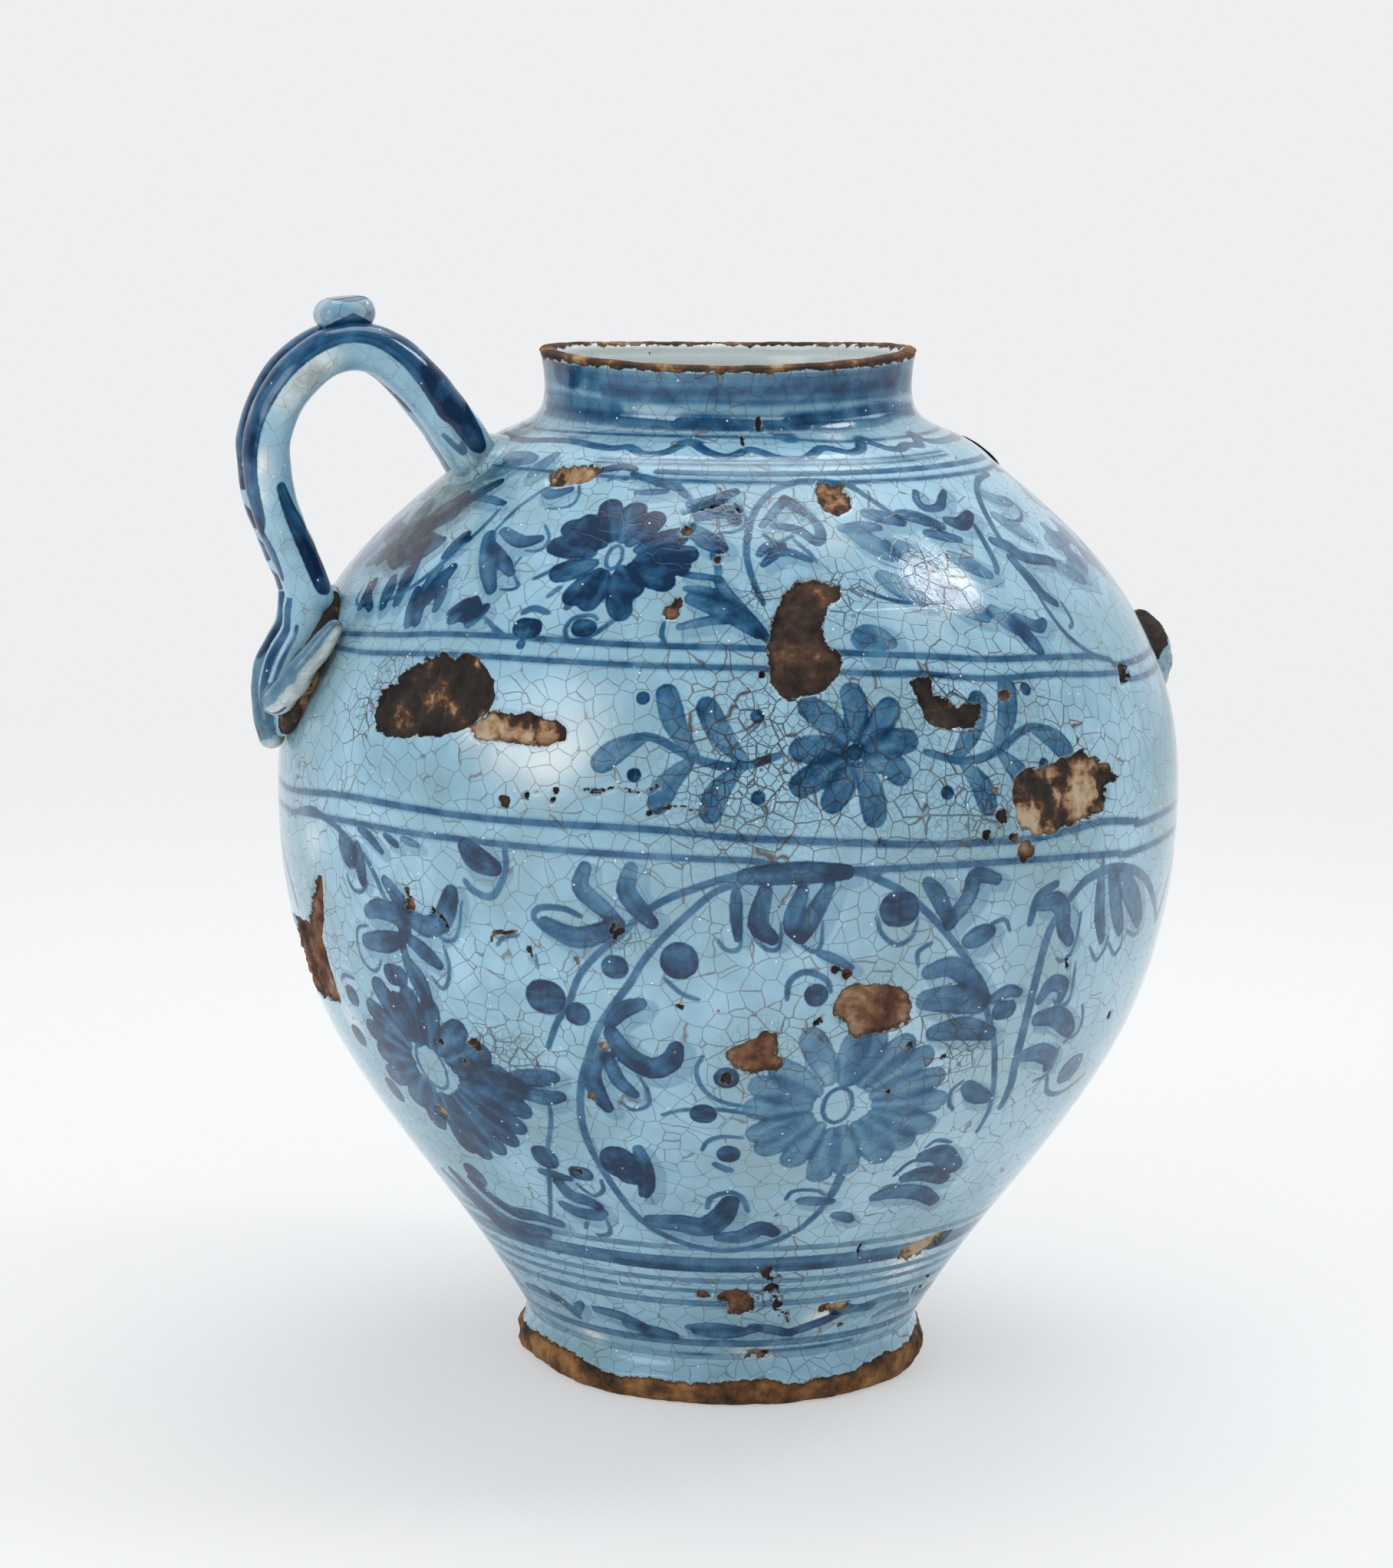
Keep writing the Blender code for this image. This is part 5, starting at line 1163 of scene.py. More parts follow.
def bare_from(canvas, near, signed, clay):
    """Lays the clay bare where the signed distance is negative."""
    closer = signed < canvas["chip"][near]
    for layer, amount in zip(("pale", "rust"), CLAYS[clay]):
        canvas[layer][near] = np.where(closer, amount, canvas[layer][near])
    canvas["chip"][near] = np.minimum(canvas["chip"][near], signed)


def chip_away(canvas, clay, outline):
    loop = np.array(outline + outline[:1], float)
    near, distance, *_ = measured(canvas, loop, CHIP_REACH)
    turn, height = wrapped(canvas["turn"][near] - loop[0, 0]) + loop[0, 0], canvas["height"][near]
    inside = np.zeros(len(near), bool)
    for (turn0, height0), (turn1, height1) in zip(loop, loop[1:]):
        if height1 != height0:
            crosses = (height0 > height) != (height1 > height)
            inside ^= crosses & (turn < (turn1 - turn0) * (height - height0) / (height1 - height0) + turn0)
    bare_from(canvas, near, np.where(inside, -distance, distance), clay)


def pit(canvas, clay, turn, height, radius):
    near, distance, *_ = measured(canvas, np.array([(turn, height)] * 2, float), radius + CHIP_REACH)
    bare_from(canvas, near, distance - radius, clay)


def dab(canvas, layer, turn, height, radius, amount):
    near, distance, *_ = measured(canvas, np.array([(turn, height)] * 2, float), 2.0 * radius)
    canvas[layer][near] += amount * np.exp(-(distance / radius) ** 2)


def wear(canvas):
    for clay, *outline in CHIPS:
        chip_away(canvas, clay, outline)
    for spot in PITS:
        pit(canvas, *spot)
    for path in SCRATCHES:
        brush(canvas, "line", 0.5, path, layer="chip")
    for layer, spots in (("white", WHITE_AND_HIGHLIGHT_SPOTS), ("craze", CRAZE_SPOTS), ("grime", DARKENING_SPOTS)):
        for spot in spots:
            dab(canvas, layer, *spot)


print("chips and pits:", len(CHIPS) + len(PITS))

# %% [markdown]
# ## The wall
# The wall is thousands of points across, too many for one piece, so it is built as rings that meet edge to edge: three
# for the part under the widest line and two over it. Each is a closed ring of clay with the wall's real thickness.
# Its outer rows are 0.8 mm apart, and the unseen inner ones coarse. The wheel's slow wobble is a swell of 0.2 mm.

# %% Wall rings
ROW_STEP, NECK_STEP, INNER_ROWS = 0.82, 0.5, 10
WALL_COLUMNS, NECK_COLUMNS = 960, 720
SWELL, EDGE_JAG = 0.2, 0.45
INSIDE_MILK, INSIDE_CRAZE = 0.85, -0.8
MOUTH_DIP, DIP_STARTS = 1.0, 286.0
RINGS = [("lower_wall", FOOT_HEIGHT, BELLY_HEIGHT, 3), ("shoulder_wall", BELLY_HEIGHT, NECK_JOINT_HEIGHT, 2)]


def outward(points, out=1.0, up=0.0):
    """Which way leads out of the pot at each point."""
    flat = unit(points * (1.0, 1.0, 0.0)) * np.reshape(out, (-1, 1))
    flat[:, 2] = up
    return flat


def rows_between(low, high, step):
    """Heights from low to high, evenly spaced along the wall."""
    start, end = arc_at(low), arc_at(high)
    return np.interp(np.linspace(start, end, max(3, math.ceil((end - start) / step) + 1)), ARC, OUTLINE[:, 1])


def inner_profile(heights):
    out, up = out_of_wall(heights)
    thick = np.interp(heights, (FOOT_HEIGHT, MOUTH_HEIGHT), (WALL_AT_FOOT, WALL_AT_MOUTH))
    radius, height = radius_at(heights) - thick * out, heights - thick * up
    height[[0, -1]] = heights[[0, -1]]
    return np.stack([radius, height], axis=1)


def shape_wall(points, canvas):
    """Presses the chips in and gives the wall its swell."""
    push = np.where(canvas["outside"], SWELL * rough(points, THROW_WAVES), 0.0)
    canvas["chip"] += np.where(canvas["chip"] < CHIP_REACH, EDGE_JAG * rough(points, EDGE_WAVES), 0.0)
    deep = np.clip((0.35 - canvas["chip"]) / 0.8, 0.0, 1.0)
    push -= deep * CHIP_DEPTH * (1.0 + 0.7 * rough(points, BREAK_WAVES))
    return points + push[:, None] * outward(points, *out_of_wall(points[:, 2]))


def mend_rim(points):
    """The mouth's edge isn't flat: it rises a little at the handles and sinks between them."""
    share = np.clip((points[:, 2] - DIP_STARTS) / (MOUTH_HEIGHT - DIP_STARTS), 0.0, 1.0) ** 2
    turn = np.arctan2(points[:, 0], -points[:, 1]) + VIEW_TURN
    points[:, 2] -= MOUTH_DIP * share * np.cos(2.0 * turn)
    return points


def build_ring(name, heights, replaced, columns=WALL_COLUMNS):
    coarse = np.interp(np.linspace(0, len(heights) - 1, INNER_ROWS), range(len(heights)), heights)
    profile = np.vstack([np.stack([radius_at(heights), heights], axis=1), inner_profile(coarse)[::-1]])
    mesh = mesh_of(name, turned(profile, columns))
    points = places(mesh)
    canvas = make_canvas(points, np.hypot(points[:, 0], points[:, 1]) > radius_at(points[:, 2]) - 0.5)
    paint_wall(canvas)
    wear(canvas)
    canvas["white"] += np.where(canvas["outside"], 0.0, INSIDE_MILK)
    canvas["craze"] += np.where(canvas["outside"], 0.0, INSIDE_CRAZE)
    points = mend_rim(shape_wall(points, canvas))
    finish_piece(name, mesh, points, canvas, TIN_GLAZE, replaced, 50.0)


def build_wall():
    for node, low, high, count in RINGS:
        cuts = rows_between(low, high, (arc_at(high) - arc_at(low)) / count)[:count + 1]
        for i in range(count):
            build_ring(f"glazed_{node}_{i + 1}", rows_between(cuts[i], cuts[i + 1], ROW_STEP), node if i == 0 else None)
    heights = rows_between(NECK_JOINT_HEIGHT, MOUTH_HEIGHT - LIP_HEIGHT, NECK_STEP)
    build_ring("glazed_neck", heights, "neck_collar", NECK_COLUMNS)


build_wall()

# %% [markdown]
# ## Foot and lip
# The foot was wiped free of glaze, so that the pot wouldn't stick to the kiln, and shows brown clay up to a ragged,
# beaded edge of glaze. A piece of its edge is lost at the left. The lip has lost its glaze through wear: brown on its
# crown, thin and pale inside.

# %% Foot
GLAZE_EDGE, EDGE_RISE, EDGE_WAVER = 7.6, 2.8, 1.2
BEAD, BEAD_PLACE, BEAD_WIDTH = 0.45, 0.9, 0.8
NICK_TURN, NICK_SPREAD, NICK_TALL, NICK_DEPTH = -62.0, 13.0, 7.0, 2.6
INSIDE_FOOT, FLAT_FOOT = 49.3, 57.2
FOOT_COLUMNS = 720


def build_foot():
    rise = bezier([(FOOT_EDGE_RADIUS, 0.0), (FLANGE_RADIUS, 0.0), (FLANGE_RADIUS, 3.0), (FLANGE_RADIUS, 6.0)], 13)[:-1]
    top = bezier([(FLANGE_RADIUS, 6.0), (FLANGE_RADIUS, 9.0), (WAIST_RADIUS, 10.5), (WAIST_RADIUS, FOOT_HEIGHT)], 15)
    under = [(radius, 0.0) for radius in np.linspace(50.0, 57.0, 8)]
    inside = [(INSIDE_FOOT, height) for height in (FOOT_HEIGHT, 9.0, 4.5, 0.6)]
    mesh = mesh_of("glazed_foot", turned(np.vstack([rise, top, inside, under]), FOOT_COLUMNS))
    points = places(mesh)
    outside = np.hypot(points[:, 0], points[:, 1]) > FLAT_FOOT
    canvas = make_canvas(points, outside)
    height = points[:, 2]
    edge = GLAZE_EDGE + EDGE_RISE * np.abs(np.sin(np.radians(canvas["turn"]))) ** 3
    edge += EDGE_WAVER * rough(points * (0.45, 0.45, 0.1), LUMP_WAVES)
    canvas["chip"] = np.where(outside, height - edge, -4.0)
    canvas["brown"] += 1.0
    canvas["grime"] += 0.15
    push = BEAD * np.exp(-((canvas["chip"] - BEAD_PLACE) / BEAD_WIDTH) ** 2)
    push += np.where(canvas["chip"] < 0.2, 0.5 * rough(points * (0.7, 0.7, 1.6), BREAK_WAVES) - 0.35, 0.0)
    push *= np.clip((FOOT_HEIGHT - height) / 2.0, 0.0, 1.0)
    nick = np.exp(-(wrapped(canvas["turn"] - NICK_TURN) / NICK_SPREAD) ** 2)
    nick *= np.clip(1.0 - height / NICK_TALL, 0.0, 1.0)
    push -= NICK_DEPTH * nick * (1.0 + 0.4 * rough(points, BREAK_WAVES))
    points = points + np.where(outside, push, 0.0)[:, None] * outward(points)
    finish_piece("glazed_foot", mesh, points, canvas, TIN_GLAZE, "foot_ring", 60.0)


build_foot()

# %% Lip
INNER_LIP_RADIUS = MOUTH_RADIUS - WALL_AT_MOUTH
OUTER_ROUND, INNER_ROUND = 1.2, 2.6
LIP_COLUMNS = 900
OUTER_FACE, INNER_FACE, LIP_GRIT_STARTS = 53.0, 52.6, 298.0
# how far down from the crown the wear reaches, outside and inside
WORN_OUTSIDE, WORN_INSIDE = 2.3, 1.0


def quarter(radius, depth, start, count):
    """A quarter of a circle, whose middle is depth under the mouth's edge and at this radius from the axis."""
    return [(radius + depth * math.cos(t), MOUTH_HEIGHT - depth + depth * math.sin(t))
            for t in np.linspace(start, start + math.pi / 2.0, count)]


def build_lip():
    low = MOUTH_HEIGHT - LIP_HEIGHT
    outside = [(radius_at(height), height) for height in np.linspace(low, MOUTH_HEIGHT - OUTER_ROUND, 8)]
    crown = quarter(MOUTH_RADIUS - OUTER_ROUND, OUTER_ROUND, 0.0, 6)[1:]
    crown += quarter(INNER_LIP_RADIUS + INNER_ROUND, INNER_ROUND, math.pi / 2.0, 9)
    inside = [(INNER_LIP_RADIUS, height) for height in (MOUTH_HEIGHT - 3.5, low)]
    mesh = mesh_of("glazed_lip", turned(outside + crown + inside, LIP_COLUMNS))
    points = places(mesh)
    radius = np.hypot(points[:, 0], points[:, 1])
    canvas = make_canvas(points, radius > OUTER_FACE)
    paint_rings(canvas, NECK_STROKES)
    canvas["chip"] = MOUTH_HEIGHT - points[:, 2] - np.where(canvas["outside"], WORN_OUTSIDE, WORN_INSIDE)
    canvas["chip"] += 0.495 * rough(points * (1.0, 1.0, 0.3), EDGE_WAVES)
    within = radius < INNER_FACE
    canvas["brown"] += 0.4
    canvas["grime"] += 0.35
    canvas["pale"] += 0.04
    canvas["craze"] += np.where(within, INSIDE_CRAZE, 0.3)
    canvas["white"] += np.where(within, INSIDE_MILK, 0.0)
    push = np.where(canvas["chip"] < 0.3, 0.16 * rough(points, BREAK_WAVES) - 0.08, 0.0)
    points[:, 2] += np.clip((points[:, 2] - LIP_GRIT_STARTS) / (MOUTH_HEIGHT - LIP_GRIT_STARTS), 0.0, 1.0) * push
    finish_piece("glazed_lip", mesh, mend_rim(points), canvas, TIN_GLAZE, "lip_rim", 60.0)


build_lip()

# %% [markdown]
# ## The handle's rolls
# The handle is two rolls of clay laid side by side, bent over and pressed on. Each roll is a straight lump turned
# on its own axis, then bent: every point keeps its turn round the roll and its place along it, and the axis becomes
# the curve of the handle. The same turn and length, in place of degrees and height, let the brush paint it.

# %% Path of a roll
ROLL_ROOT_RADIUS, ROLL_RADIUS, ROLL_END_RADIUS, GAP = 7.3, 6.8, 6.7, 0.3
ROOT_HEIGHT, TOP_HEIGHT, REACH_HEIGHT, HANDLE_FOOT_HEIGHT = 270.0, 303.9, 273.0, 227.2
TOP_OUT, REACH_OUT, FOOT_PROUD, BURIED = 34.5, 4.1, 8.0, 9.0
ROOT_WAY = np.array((-0.52, 0.0, 0.85)) / math.hypot(0.52, 0.85)
FOOT_WAY = np.array((0.3, 0.0, -1.0)) / math.hypot(0.3, 1.0)
Z_WAY, BACK_WAY, ACROSS = np.array((0.0, 0.0, 1.0)), np.array((-1.0, 0.0, 0.0)), np.array((0.0, 1.0, 0.0))
PATH_STEPS = 60


def on_handle_side(across, height, proud):
    """A point off the wall on the handle's side. Across is towards +Y, the far side."""
    out, up = out_of_wall(height)
    radius = radius_at(height) + proud * out
    return np.array((-math.sqrt(radius * radius - across * across), across, height + proud * up))


def roll_path(side):
    """(points, radii, station) down one roll. Station is 0 at its root, 1 at the top, 2 at the reach, 3 at its foot."""
    root = on_handle_side(side * (ROLL_ROOT_RADIUS + GAP / 2), ROOT_HEIGHT, 0.0)
    foot = on_handle_side(side * (ROLL_END_RADIUS + GAP / 2), HANDLE_FOOT_HEIGHT, FOOT_PROUD)
    top = np.array((on_handle_side(0.0, ROOT_HEIGHT, 0.0)[0] - TOP_OUT, side * (ROLL_RADIUS + GAP / 2), TOP_HEIGHT))
    reach = np.array((-BELLY_RADIUS - REACH_OUT, foot[1], REACH_HEIGHT))
    buried = root - BURIED * ROOT_WAY
    rise, drop, leg = TOP_HEIGHT - ROOT_HEIGHT, TOP_HEIGHT - REACH_HEIGHT, REACH_HEIGHT - HANDLE_FOOT_HEIGHT
    runs = [
        (buried, buried + BURIED / 3 * ROOT_WAY, root - BURIED / 3 * ROOT_WAY, root),
        (root, root + 0.58 * rise * ROOT_WAY, top - 0.40 * rise * BACK_WAY, top),
        (top, top + 0.35 * rise * BACK_WAY, reach + 0.50 * drop * Z_WAY, reach),
        (reach, reach - 0.36 * leg * Z_WAY, foot - 0.36 * leg * FOOT_WAY, foot),
    ]
    thick = (ROLL_ROOT_RADIUS, ROLL_ROOT_RADIUS, ROLL_RADIUS, ROLL_END_RADIUS, ROLL_END_RADIUS)
    station = np.append(np.concatenate([np.linspace(i - 1, i, PATH_STEPS)[:-1] for i in range(4)]), 3.0)
    points = np.vstack([bezier(corners, PATH_STEPS)[:-1] for corners in runs] + [foot])
    return points, np.interp(station, range(-1, 4), thick), station


# %% Path of a curl
CURLS = {
    # (across, down from the foot, proud of the wall, share of the roll's radius)
    -1: ((0.0, 7.5, 5.6, 0.94), (-0.4, 14.0, 6.4, 0.89), (-0.9, 20.0, 7.6, 0.79), (-3.4, 25.0, 8.4, 0.68),
         (-8.0, 26.4, 8.2, 0.64), (-12.4, 22.0, 7.2, 0.62), (-15.6, 15.5, 5.8, 0.58), (-17.6, 9.5, 4.6, 0.50),
         (-18.6, 4.0, 3.8, 0.42)),
    1: ((0.0, 7.5, 5.6, 0.94), (0.0, 14.0, 6.4, 0.92), (-0.6, 22.0, 7.4, 0.83), (-3.0, 30.0, 6.2, 0.71),
        (-6.0, 38.0, 4.4, 0.55)),
}
CURL_START = 1.5


def curl_path(side):
    middle = side * (ROLL_END_RADIUS + GAP / 2)
    corners = [on_handle_side(middle, HANDLE_FOOT_HEIGHT, FOOT_PROUD) - CURL_START * FOOT_WAY]
    corners += [on_handle_side(middle + across, HANDLE_FOOT_HEIGHT - down, proud)
                for across, down, proud, _ in CURLS[side]]
    shares = [1.0] + [share for *_, share in CURLS[side]]
    path = curved(corners, 12)
    radii = ROLL_END_RADIUS * np.interp(np.linspace(0, 1, len(path)), np.linspace(0, 1, len(shares)), shares)
    return path, radii, np.linspace(3.0, 4.0, len(path))


def along_path(places_along, length, values):
    """Values that are known at each point of a path, at other places along it."""
    return np.stack([np.interp(places_along, length, part) for part in values.T], axis=1)


def bent(spots, path, radii, length):
    """Points of a straight unit roll, as long as the path, moved on to it, and which way is out of the roll at each.
    Turn 0 is the outer side of the loop."""
    along = np.clip(spots[:, 2], 0.0, length[-1])
    middle = along_path(along, length, path)
    heading = unit(along_path(along, length, np.gradient(path, length, axis=0)))
    across = unit(ACROSS - (heading @ ACROSS)[:, None] * heading)
    outer = np.cross(across, heading)
    aside = np.interp(along, length, radii)[:, None] * (spots[:, :1] * outer + spots[:, 1:2] * across)
    offset = aside + (spots[:, 2] - along)[:, None] * heading
    return middle + offset, unit(offset)


def roll_canvas(spots, length, radii):
    turn = np.arctan2(spots[:, 1], spots[:, 0])
    canvas = make_canvas(np.stack([np.sin(turn), -np.cos(turn), spots[:, 2]], axis=1))
    canvas.update(turn=np.degrees(turn), arc=spots[:, 2], scale=np.interp(spots[:, 2], length, radii) * ROUND,
                  measure=lambda along: along, girth=lambda along: np.interp(along, length, radii))
    return canvas


# %% Paint on the rolls
# (kind, width, strength, (turn round the roll, station) ...): turn 0 is the loop's outer side, -90 faces the front
NEAR_ROLL_STROKES = [
    ("band", 12.0, 0.78, (0, 2.35), (-8, 2.0), (-18, 1.6), (-24, 1.25), (-28, 1.0), (-38, 0.75), (-52, 0.5),
     (-62, 0.32)),
    ("leaf", 9.5, 0.86, (-52, 0.5), (-62, 0.3), (-70, 0.1)), ("band", 8.0, 0.5, (40, 1.9), (40, 1.2), (30, 0.6)),
    ("drop", 7.5, 0.84, (-112, 2.2), (-124, 2.5), (-130, 2.72), (-128, 2.92)),
    ("leaf", 4.5, 0.6, (-14, 2.4), (-22, 2.6), (-18, 2.8)), ("line", 1.6, 0, (-128, 0.22), (-112, 0.1), (-100, 0.14)),
    ("veil", 5.0, 0, (-90, 0.3), (-88, 0.05)), ("white", 5.5, 0.8, (-92, 1.28)), ("white", 5.0, 0.7, (-100, 1.45)),
    ("white", 5.0, 0.7, (-84, 1.62)), ("white", 3.6, 0.9, (-42, 2.22)), ("white", 4.0, 0.7, (-60, 2.02)),
    ("white", 3.0, 0.8, (-52, 2.05)), ("grime", 4.0, 0.35, (-96, 1.36)), ("grime", 7.0, 0.3, (-110, 1.55)),
    # the dabs at turns 38 to 60 near the root are painted shade in the crevice between the two rolls and the shoulder;
    # the others are dirt
    ("grime", 9.0, 0.3, (-80, 2.6)), ("grime", 6.0, 0.9, (60, 0.1)), ("grime", 3.0, 1.6, (38, 0.12)),
    ("grime", 2.6, 1.4, (40, 0.32)), ("grime", 2.2, 1.2, (45, 0.52)),
]
FAR_ROLL_STROKES = [
    ("band", 9.0, 0.7, (0, 0.2), (0, 0.9), (0, 1.6), (0, 2.0)),
    ("band", 4.0, 0.6, (-150, 0.4), (-160, 0.8), (-165, 1.3)), ("leaf", 7.0, 0.85, (10, 2.1), (-30, 2.16)),
    ("leaf", 7.0, 0.85, (20, 2.36), (-25, 2.42)), ("leaf", 7.0, 0.8, (20, 2.6), (-25, 2.66)),
    ("leaf", 7.0, 0.8, (20, 2.82), (-20, 2.88)),
]
CURL_STROKES = [
    ("leaf", 4.0, 0.7, (-20, 3.0), (-30, 3.3), (-20, 3.5)), ("line", 1.2, 0, (-60, 3.1), (-70, 3.4), (-60, 3.6)),
    ("leaf", 3.0, 0.75, (60, 3.7), (30, 3.85), (0, 3.97)), ("leaf", 3.0, 0.6, (-100, 3.2), (-110, 3.5)),
]
ROLL_COLUMNS, ROLL_CRAZE = 88, -0.35
# rounded ends of a straight roll: (share of its radius, how many radii past its end)
ROOT_CAP = [(0.0, 0.35), (0.35, 0.33), (0.7, 0.22), (0.92, 0.08)]
END_CAP = [(0.97, 0.25), (0.8, 0.6), (0.5, 0.87), (0.2, 0.98), (0.0, 1.0)]


def paint_roll(canvas, strokes, station, length):
    for kind, width, strength, *points in strokes:
        stations = [(turn, float(np.interp(place, station, length))) for turn, place in points]
        if kind == "veil":
            brush(canvas, "leaf", width, stations, layer=kind)
        elif kind in PRESSURE:
            brush(canvas, kind, width, stations, strength)
        else:
            dab(canvas, kind, *stations[0], width, strength)


def leave_raw(canvas, points, away, low):
    """The curl's underside was never dipped: white and rough. Its side towards the wall is darkened."""
    under = np.clip(1.6 * away @ np.array((0.5, -0.3, -0.8)) + 0.35 * rough(points, LUMP_WAVES), 0.0, 1.0)
    late = np.clip(3.0 * (low - 3.2), 0.0, 1.0)
    canvas["white"] += under * late
    canvas["grime"] += 0.5 * late * np.clip(away @ np.array((0.9, 0.2, 0.3)), 0.0, 1.0)
    canvas["tone"] = np.maximum(canvas["tone"], 0.35 * late * (1.0 - under))
    canvas["wash"] = np.where(late * (1.0 - under) > 0.7, -1.0, canvas["wash"])


def build_roll(name, path_of, side, strokes, node, grime, rows, lumps):
    path, radii, station = path_of(side)
    length = lengths_along(path)
    profile = [(share, -past * radii[0]) for share, past in ROOT_CAP]
    profile += [(1.0, height) for height in np.linspace(0.0, length[-1], rows)]
    profile += [(share, length[-1] + past * radii[-1]) for share, past in END_CAP]
    mesh = mesh_of(name, turned(profile, ROLL_COLUMNS, closed=False))
    spots = places(mesh)
    canvas = roll_canvas(spots, length, radii)
    paint_roll(canvas, strokes, station, length)
    points, away = bent(spots, path, radii, length)
    low = np.interp(spots[:, 2], length, station)
    canvas["grime"] += grime + 2.0 * np.clip(0.25 - low, 0.0, 0.25) + 0.35 * np.clip(low - 2.8, 0.0, 1.0)
    canvas["craze"] += ROLL_CRAZE
    if path_of is curl_path:
        leave_raw(canvas, points, away, low)
    points += (lumps * rough(points, SOFT_WAVES))[:, None] * away
    finish_piece(name, mesh, points, canvas, TIN_GLAZE, node)


build_roll("painted_near_roll", roll_path, -1, NEAR_ROLL_STROKES, "handle_near_roll", 0.24, 260, 0.25)
build_roll("painted_far_roll", roll_path, 1, FAR_ROLL_STROKES, "handle_far_roll", 0.24, 260, 0.25)
build_roll("near_curl", curl_path, -1, CURL_STROKES, "handle_lower_curl_near", 0.2, 150, 0.45)
build_roll("far_curl", curl_path, 1, CURL_STROKES, "handle_lower_curl_far", 0.25, 120, 0.45)

# %% [markdown]
# ## Lumps of clay
# The luting where the handle meets the wall, the knob and the lost handle's remains are lumps pressed on by hand.
# Each but the knob starts from an icosphere, squashed against the wall, and is roughened by the same waves as the
# chips; the knob is a rounded box. The upper luting was dipped with the pot, and the lower one has glaze only at its
# far side.

# %% Shapes of single lumps
STUB_HEIGHT, BREAK_TILT, BREAK_RISE = 210.0, math.radians(25.0), 9.5
HUMP_PLACE, HUMP_SIZE, HUMP_RISE = np.array((-74.0, 15.0, 274.0)), np.array((7.0, 6.0, 6.0)), 3.0
BARE_BEHIND = -6.0


def broken_off(points):
    """Cuts the stub's top down to a tilted, rough plane, where the handle snapped."""
    plane = np.array((-math.sin(BREAK_TILT), 0.0, math.cos(BREAK_TILT)))
    over = (points - np.array((radius_at(STUB_HEIGHT), 0.0, STUB_HEIGHT))) @ plane - BREAK_RISE
    over += 0.5 * rough(points, BREAK_WAVES)
    return points - np.maximum(over, 0.0)[:, None] * plane


def hump(points):
    """More clay was pressed on behind the far roll's root, level with its upper side."""
    reach = np.exp(-(((points - HUMP_PLACE) / HUMP_SIZE) ** 2).sum(axis=1))
    return points + (HUMP_RISE * reach)[:, None] * Z_WAY


def glazed_side(points):
    """The stub's outer side has kept its glaze. Its broken top hasn't."""
    up, out = points[:, 2] - STUB_HEIGHT, points[:, 0] - radius_at(STUB_HEIGHT)
    return 0.4 * out - 0.55 * up - 1.0 + 1.2 * rough(points, LUMP_WAVES)


def bare_in_front(points):
    """The dip missed the clay under the near curl. Farther round it is glazed."""
    return 0.5 * (points[:, 1] - BARE_BEHIND) + 1.2 * rough(points, LUMP_WAVES)


# %% Lumps


def lump(name, size, height, side, node, roughness, grime=0.3, material=TIN_GLAZE, change=None, glazed=None,
         sink=0.0, deepest=math.inf):
    """A squashed ball on the wall: half sizes across, along and out. Side is -1 at the handle and 1 opposite. Sink
    moves it into the wall, but no point deeper than deepest."""
    shape = bmesh.new()
    bmesh.ops.create_icosphere(shape, subdivisions=6, radius=1.0)
    mesh = mesh_of(name, shape)
    ball = places(mesh)
    out, up = out_of_wall(height)
    ways = np.array(((0.0, 1.0, 0.0), (-side * up, 0.0, out), (side * out, 0.0, up)))
    across, along, proud = size
    rise = np.maximum(ball[:, :1] * proud - sink, -deepest)
    centre = np.array((side * radius_at(height), 0.0, height))
    points = centre + np.hstack([ball[:, 1:2] * across, ball[:, 2:] * along, rise]) @ ways
    away = ball[:, (1, 2, 0)] @ ways
    points += (roughness * (rough(points, LUMP_WAVES) + 0.5 * rough(points, BREAK_WAVES)))[:, None] * away
    points = change(points) if change else points
    canvas = make_canvas(points)
    canvas["grime"] += grime
    if glazed:
        canvas["chip"] = glazed(points)
        canvas["pale"] += 0.04
    finish_piece(name, mesh, points, canvas, material, node)


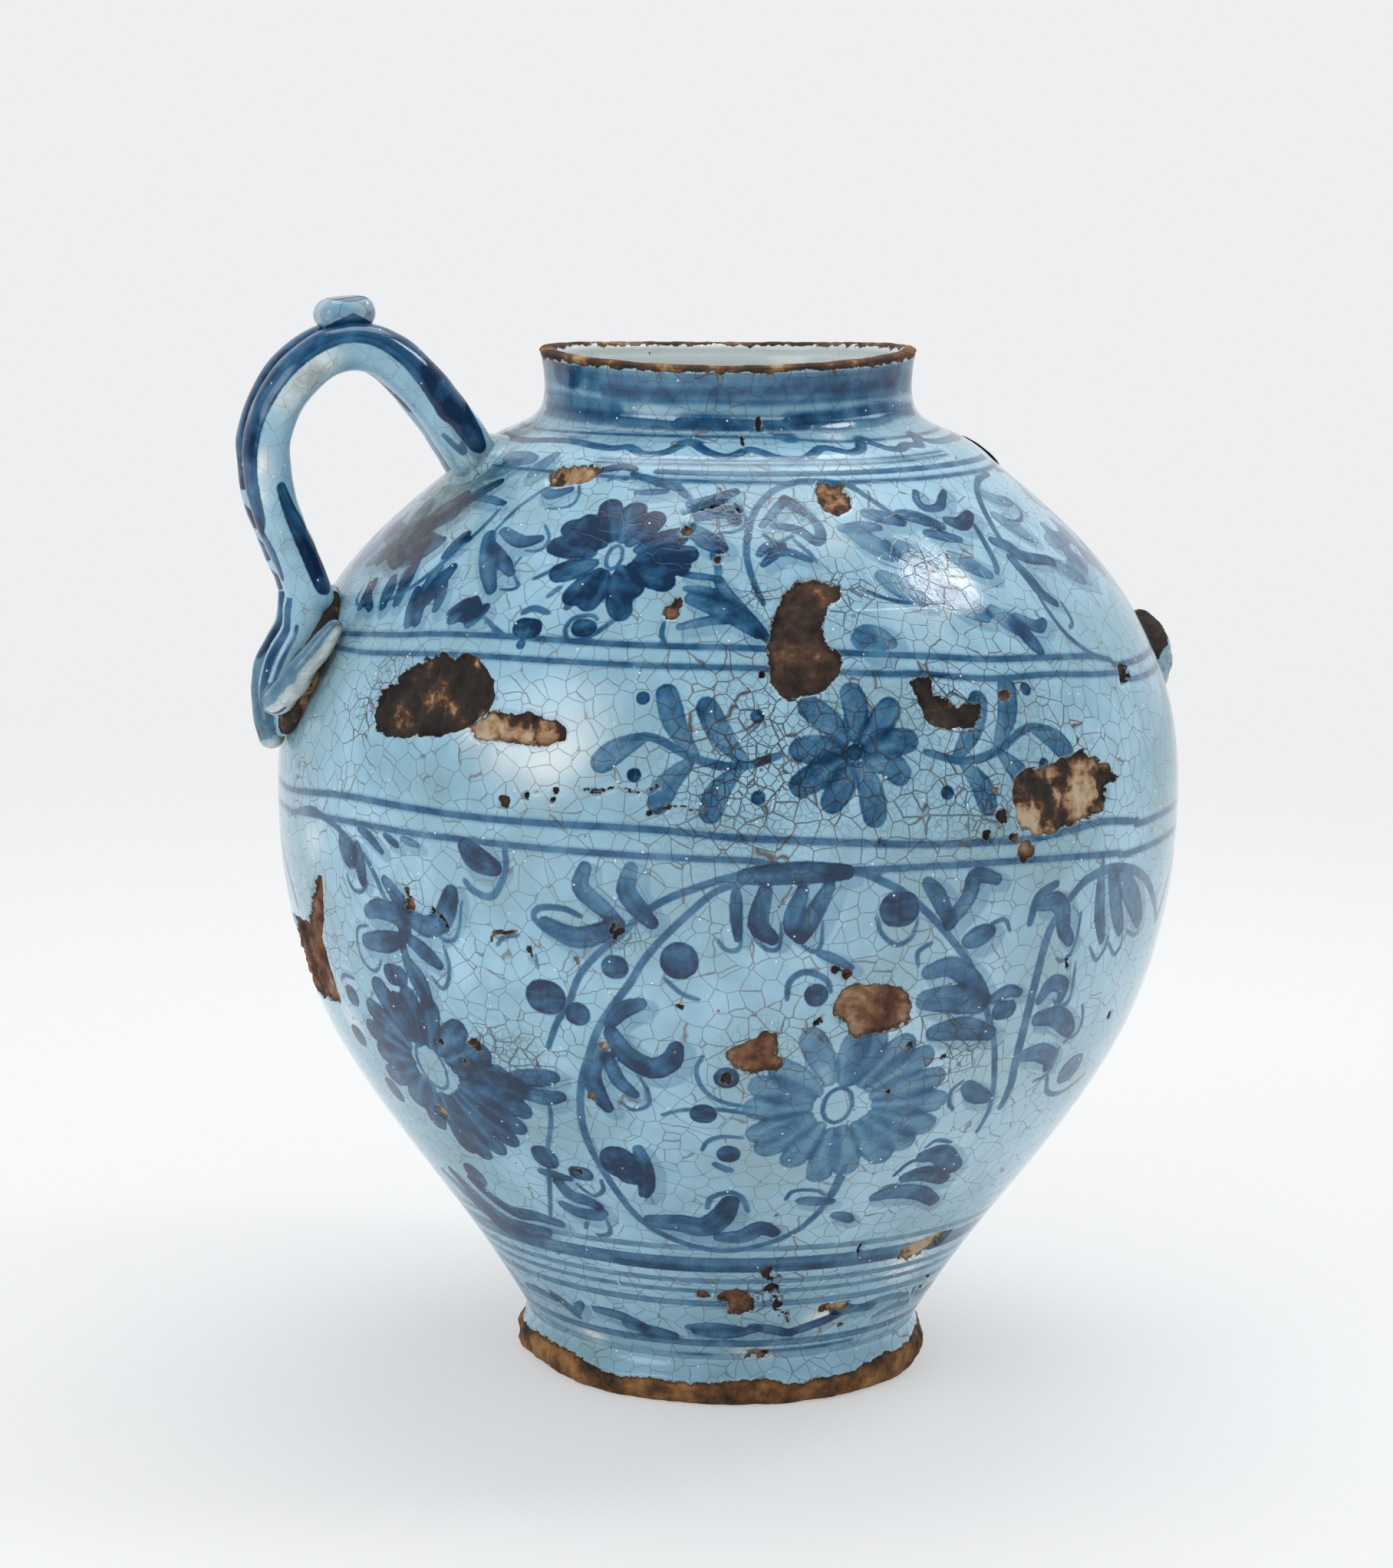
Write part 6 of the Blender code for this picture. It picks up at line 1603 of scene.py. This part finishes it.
lump("upper_luting", (20.0, 13.5, 7.0), ROOT_HEIGHT, -1, "handle_upper_luting", 0.12, grime=0.6,
     change=hump, sink=4.4, deepest=3.0)
lump("lower_luting", (20.5, 23.0, 5.4), HANDLE_FOOT_HEIGHT - 15.0, -1, "handle_lower_luting", 0.8,
     grime=0.5, glazed=bare_in_front)
lump("lost_handle_stub", (15.0, 14.5, 9.8), STUB_HEIGHT, 1, "lost_handle_lower_stub", 0.5, grime=0.6,
     change=broken_off, glazed=glazed_side)
lump("lost_handle_scar", (13.0, 7.0, 0.8), ROOT_HEIGHT, 1, "lost_handle_upper_scar", 0.15,
     material=BREAK_CLAY)

# %% Knob
KNOB_LENGTH, KNOB_WIDTH, KNOB_RISE, KNOB_SINK = 16.3, 16.5, 6.8, 2.5
KNOB_ROUND, KNOB_SLOPE, KNOB_OUT = 4.6, 6.0, 1.5


def paint_knob(canvas, local):
    """Paint on its crown and round its foot, worn white in places."""
    x, y, z = local.T
    crown = np.hypot(x / 1.2 - 0.5, y / 1.6) - 3.4 - 1.6 * (z - 3.0)
    base = np.abs(x - 1.0) * 0.55 + (z + 0.6) * 1.1 - 1.4
    canvas["wash"] = np.minimum(crown, base)
    canvas["veil"] -= 12.0
    canvas["tone"] += 0.7
    canvas["grime"] += 0.35


def build_knob():
    depth = KNOB_RISE + KNOB_SINK
    centre = np.array((on_handle_side(0.0, ROOT_HEIGHT, 0.0)[0] - TOP_OUT - KNOB_OUT, 0.0,
                       TOP_HEIGHT + ROLL_RADIUS + KNOB_RISE - depth / 2))
    shape = bmesh.new()
    bmesh.ops.create_cube(shape, size=1.0)
    bmesh.ops.scale(shape, verts=shape.verts, vec=Vector((KNOB_LENGTH, KNOB_WIDTH, depth)))
    bmesh.ops.bevel(shape, geom=shape.edges[:], offset=KNOB_ROUND, offset_type="OFFSET", segments=8, profile=0.5,
                    affect="EDGES", material=-1)
    bmesh.ops.subdivide_edges(shape, edges=shape.edges[:], cuts=5, use_grid_fill=True)
    tilt = Matrix.Rotation(-math.radians(KNOB_SLOPE), 3, "Y")
    bmesh.ops.rotate(shape, verts=shape.verts, cent=(0, 0, 0), matrix=tilt)
    bmesh.ops.translate(shape, verts=shape.verts, vec=Vector(centre))
    mesh = mesh_of("painted_knob", shape)
    points = places(mesh)
    points += (0.3 * rough(points, SOFT_WAVES))[:, None] * unit(points - centre)
    canvas = make_canvas(points)
    paint_knob(canvas, points - centre)
    canvas["white"] += 0.5 * np.clip(0.5 + rough(points, LUMP_WAVES), 0.0, 1.0)
    finish_piece("painted_knob", mesh, points, canvas, TIN_GLAZE, "thumb_knob")


build_knob()
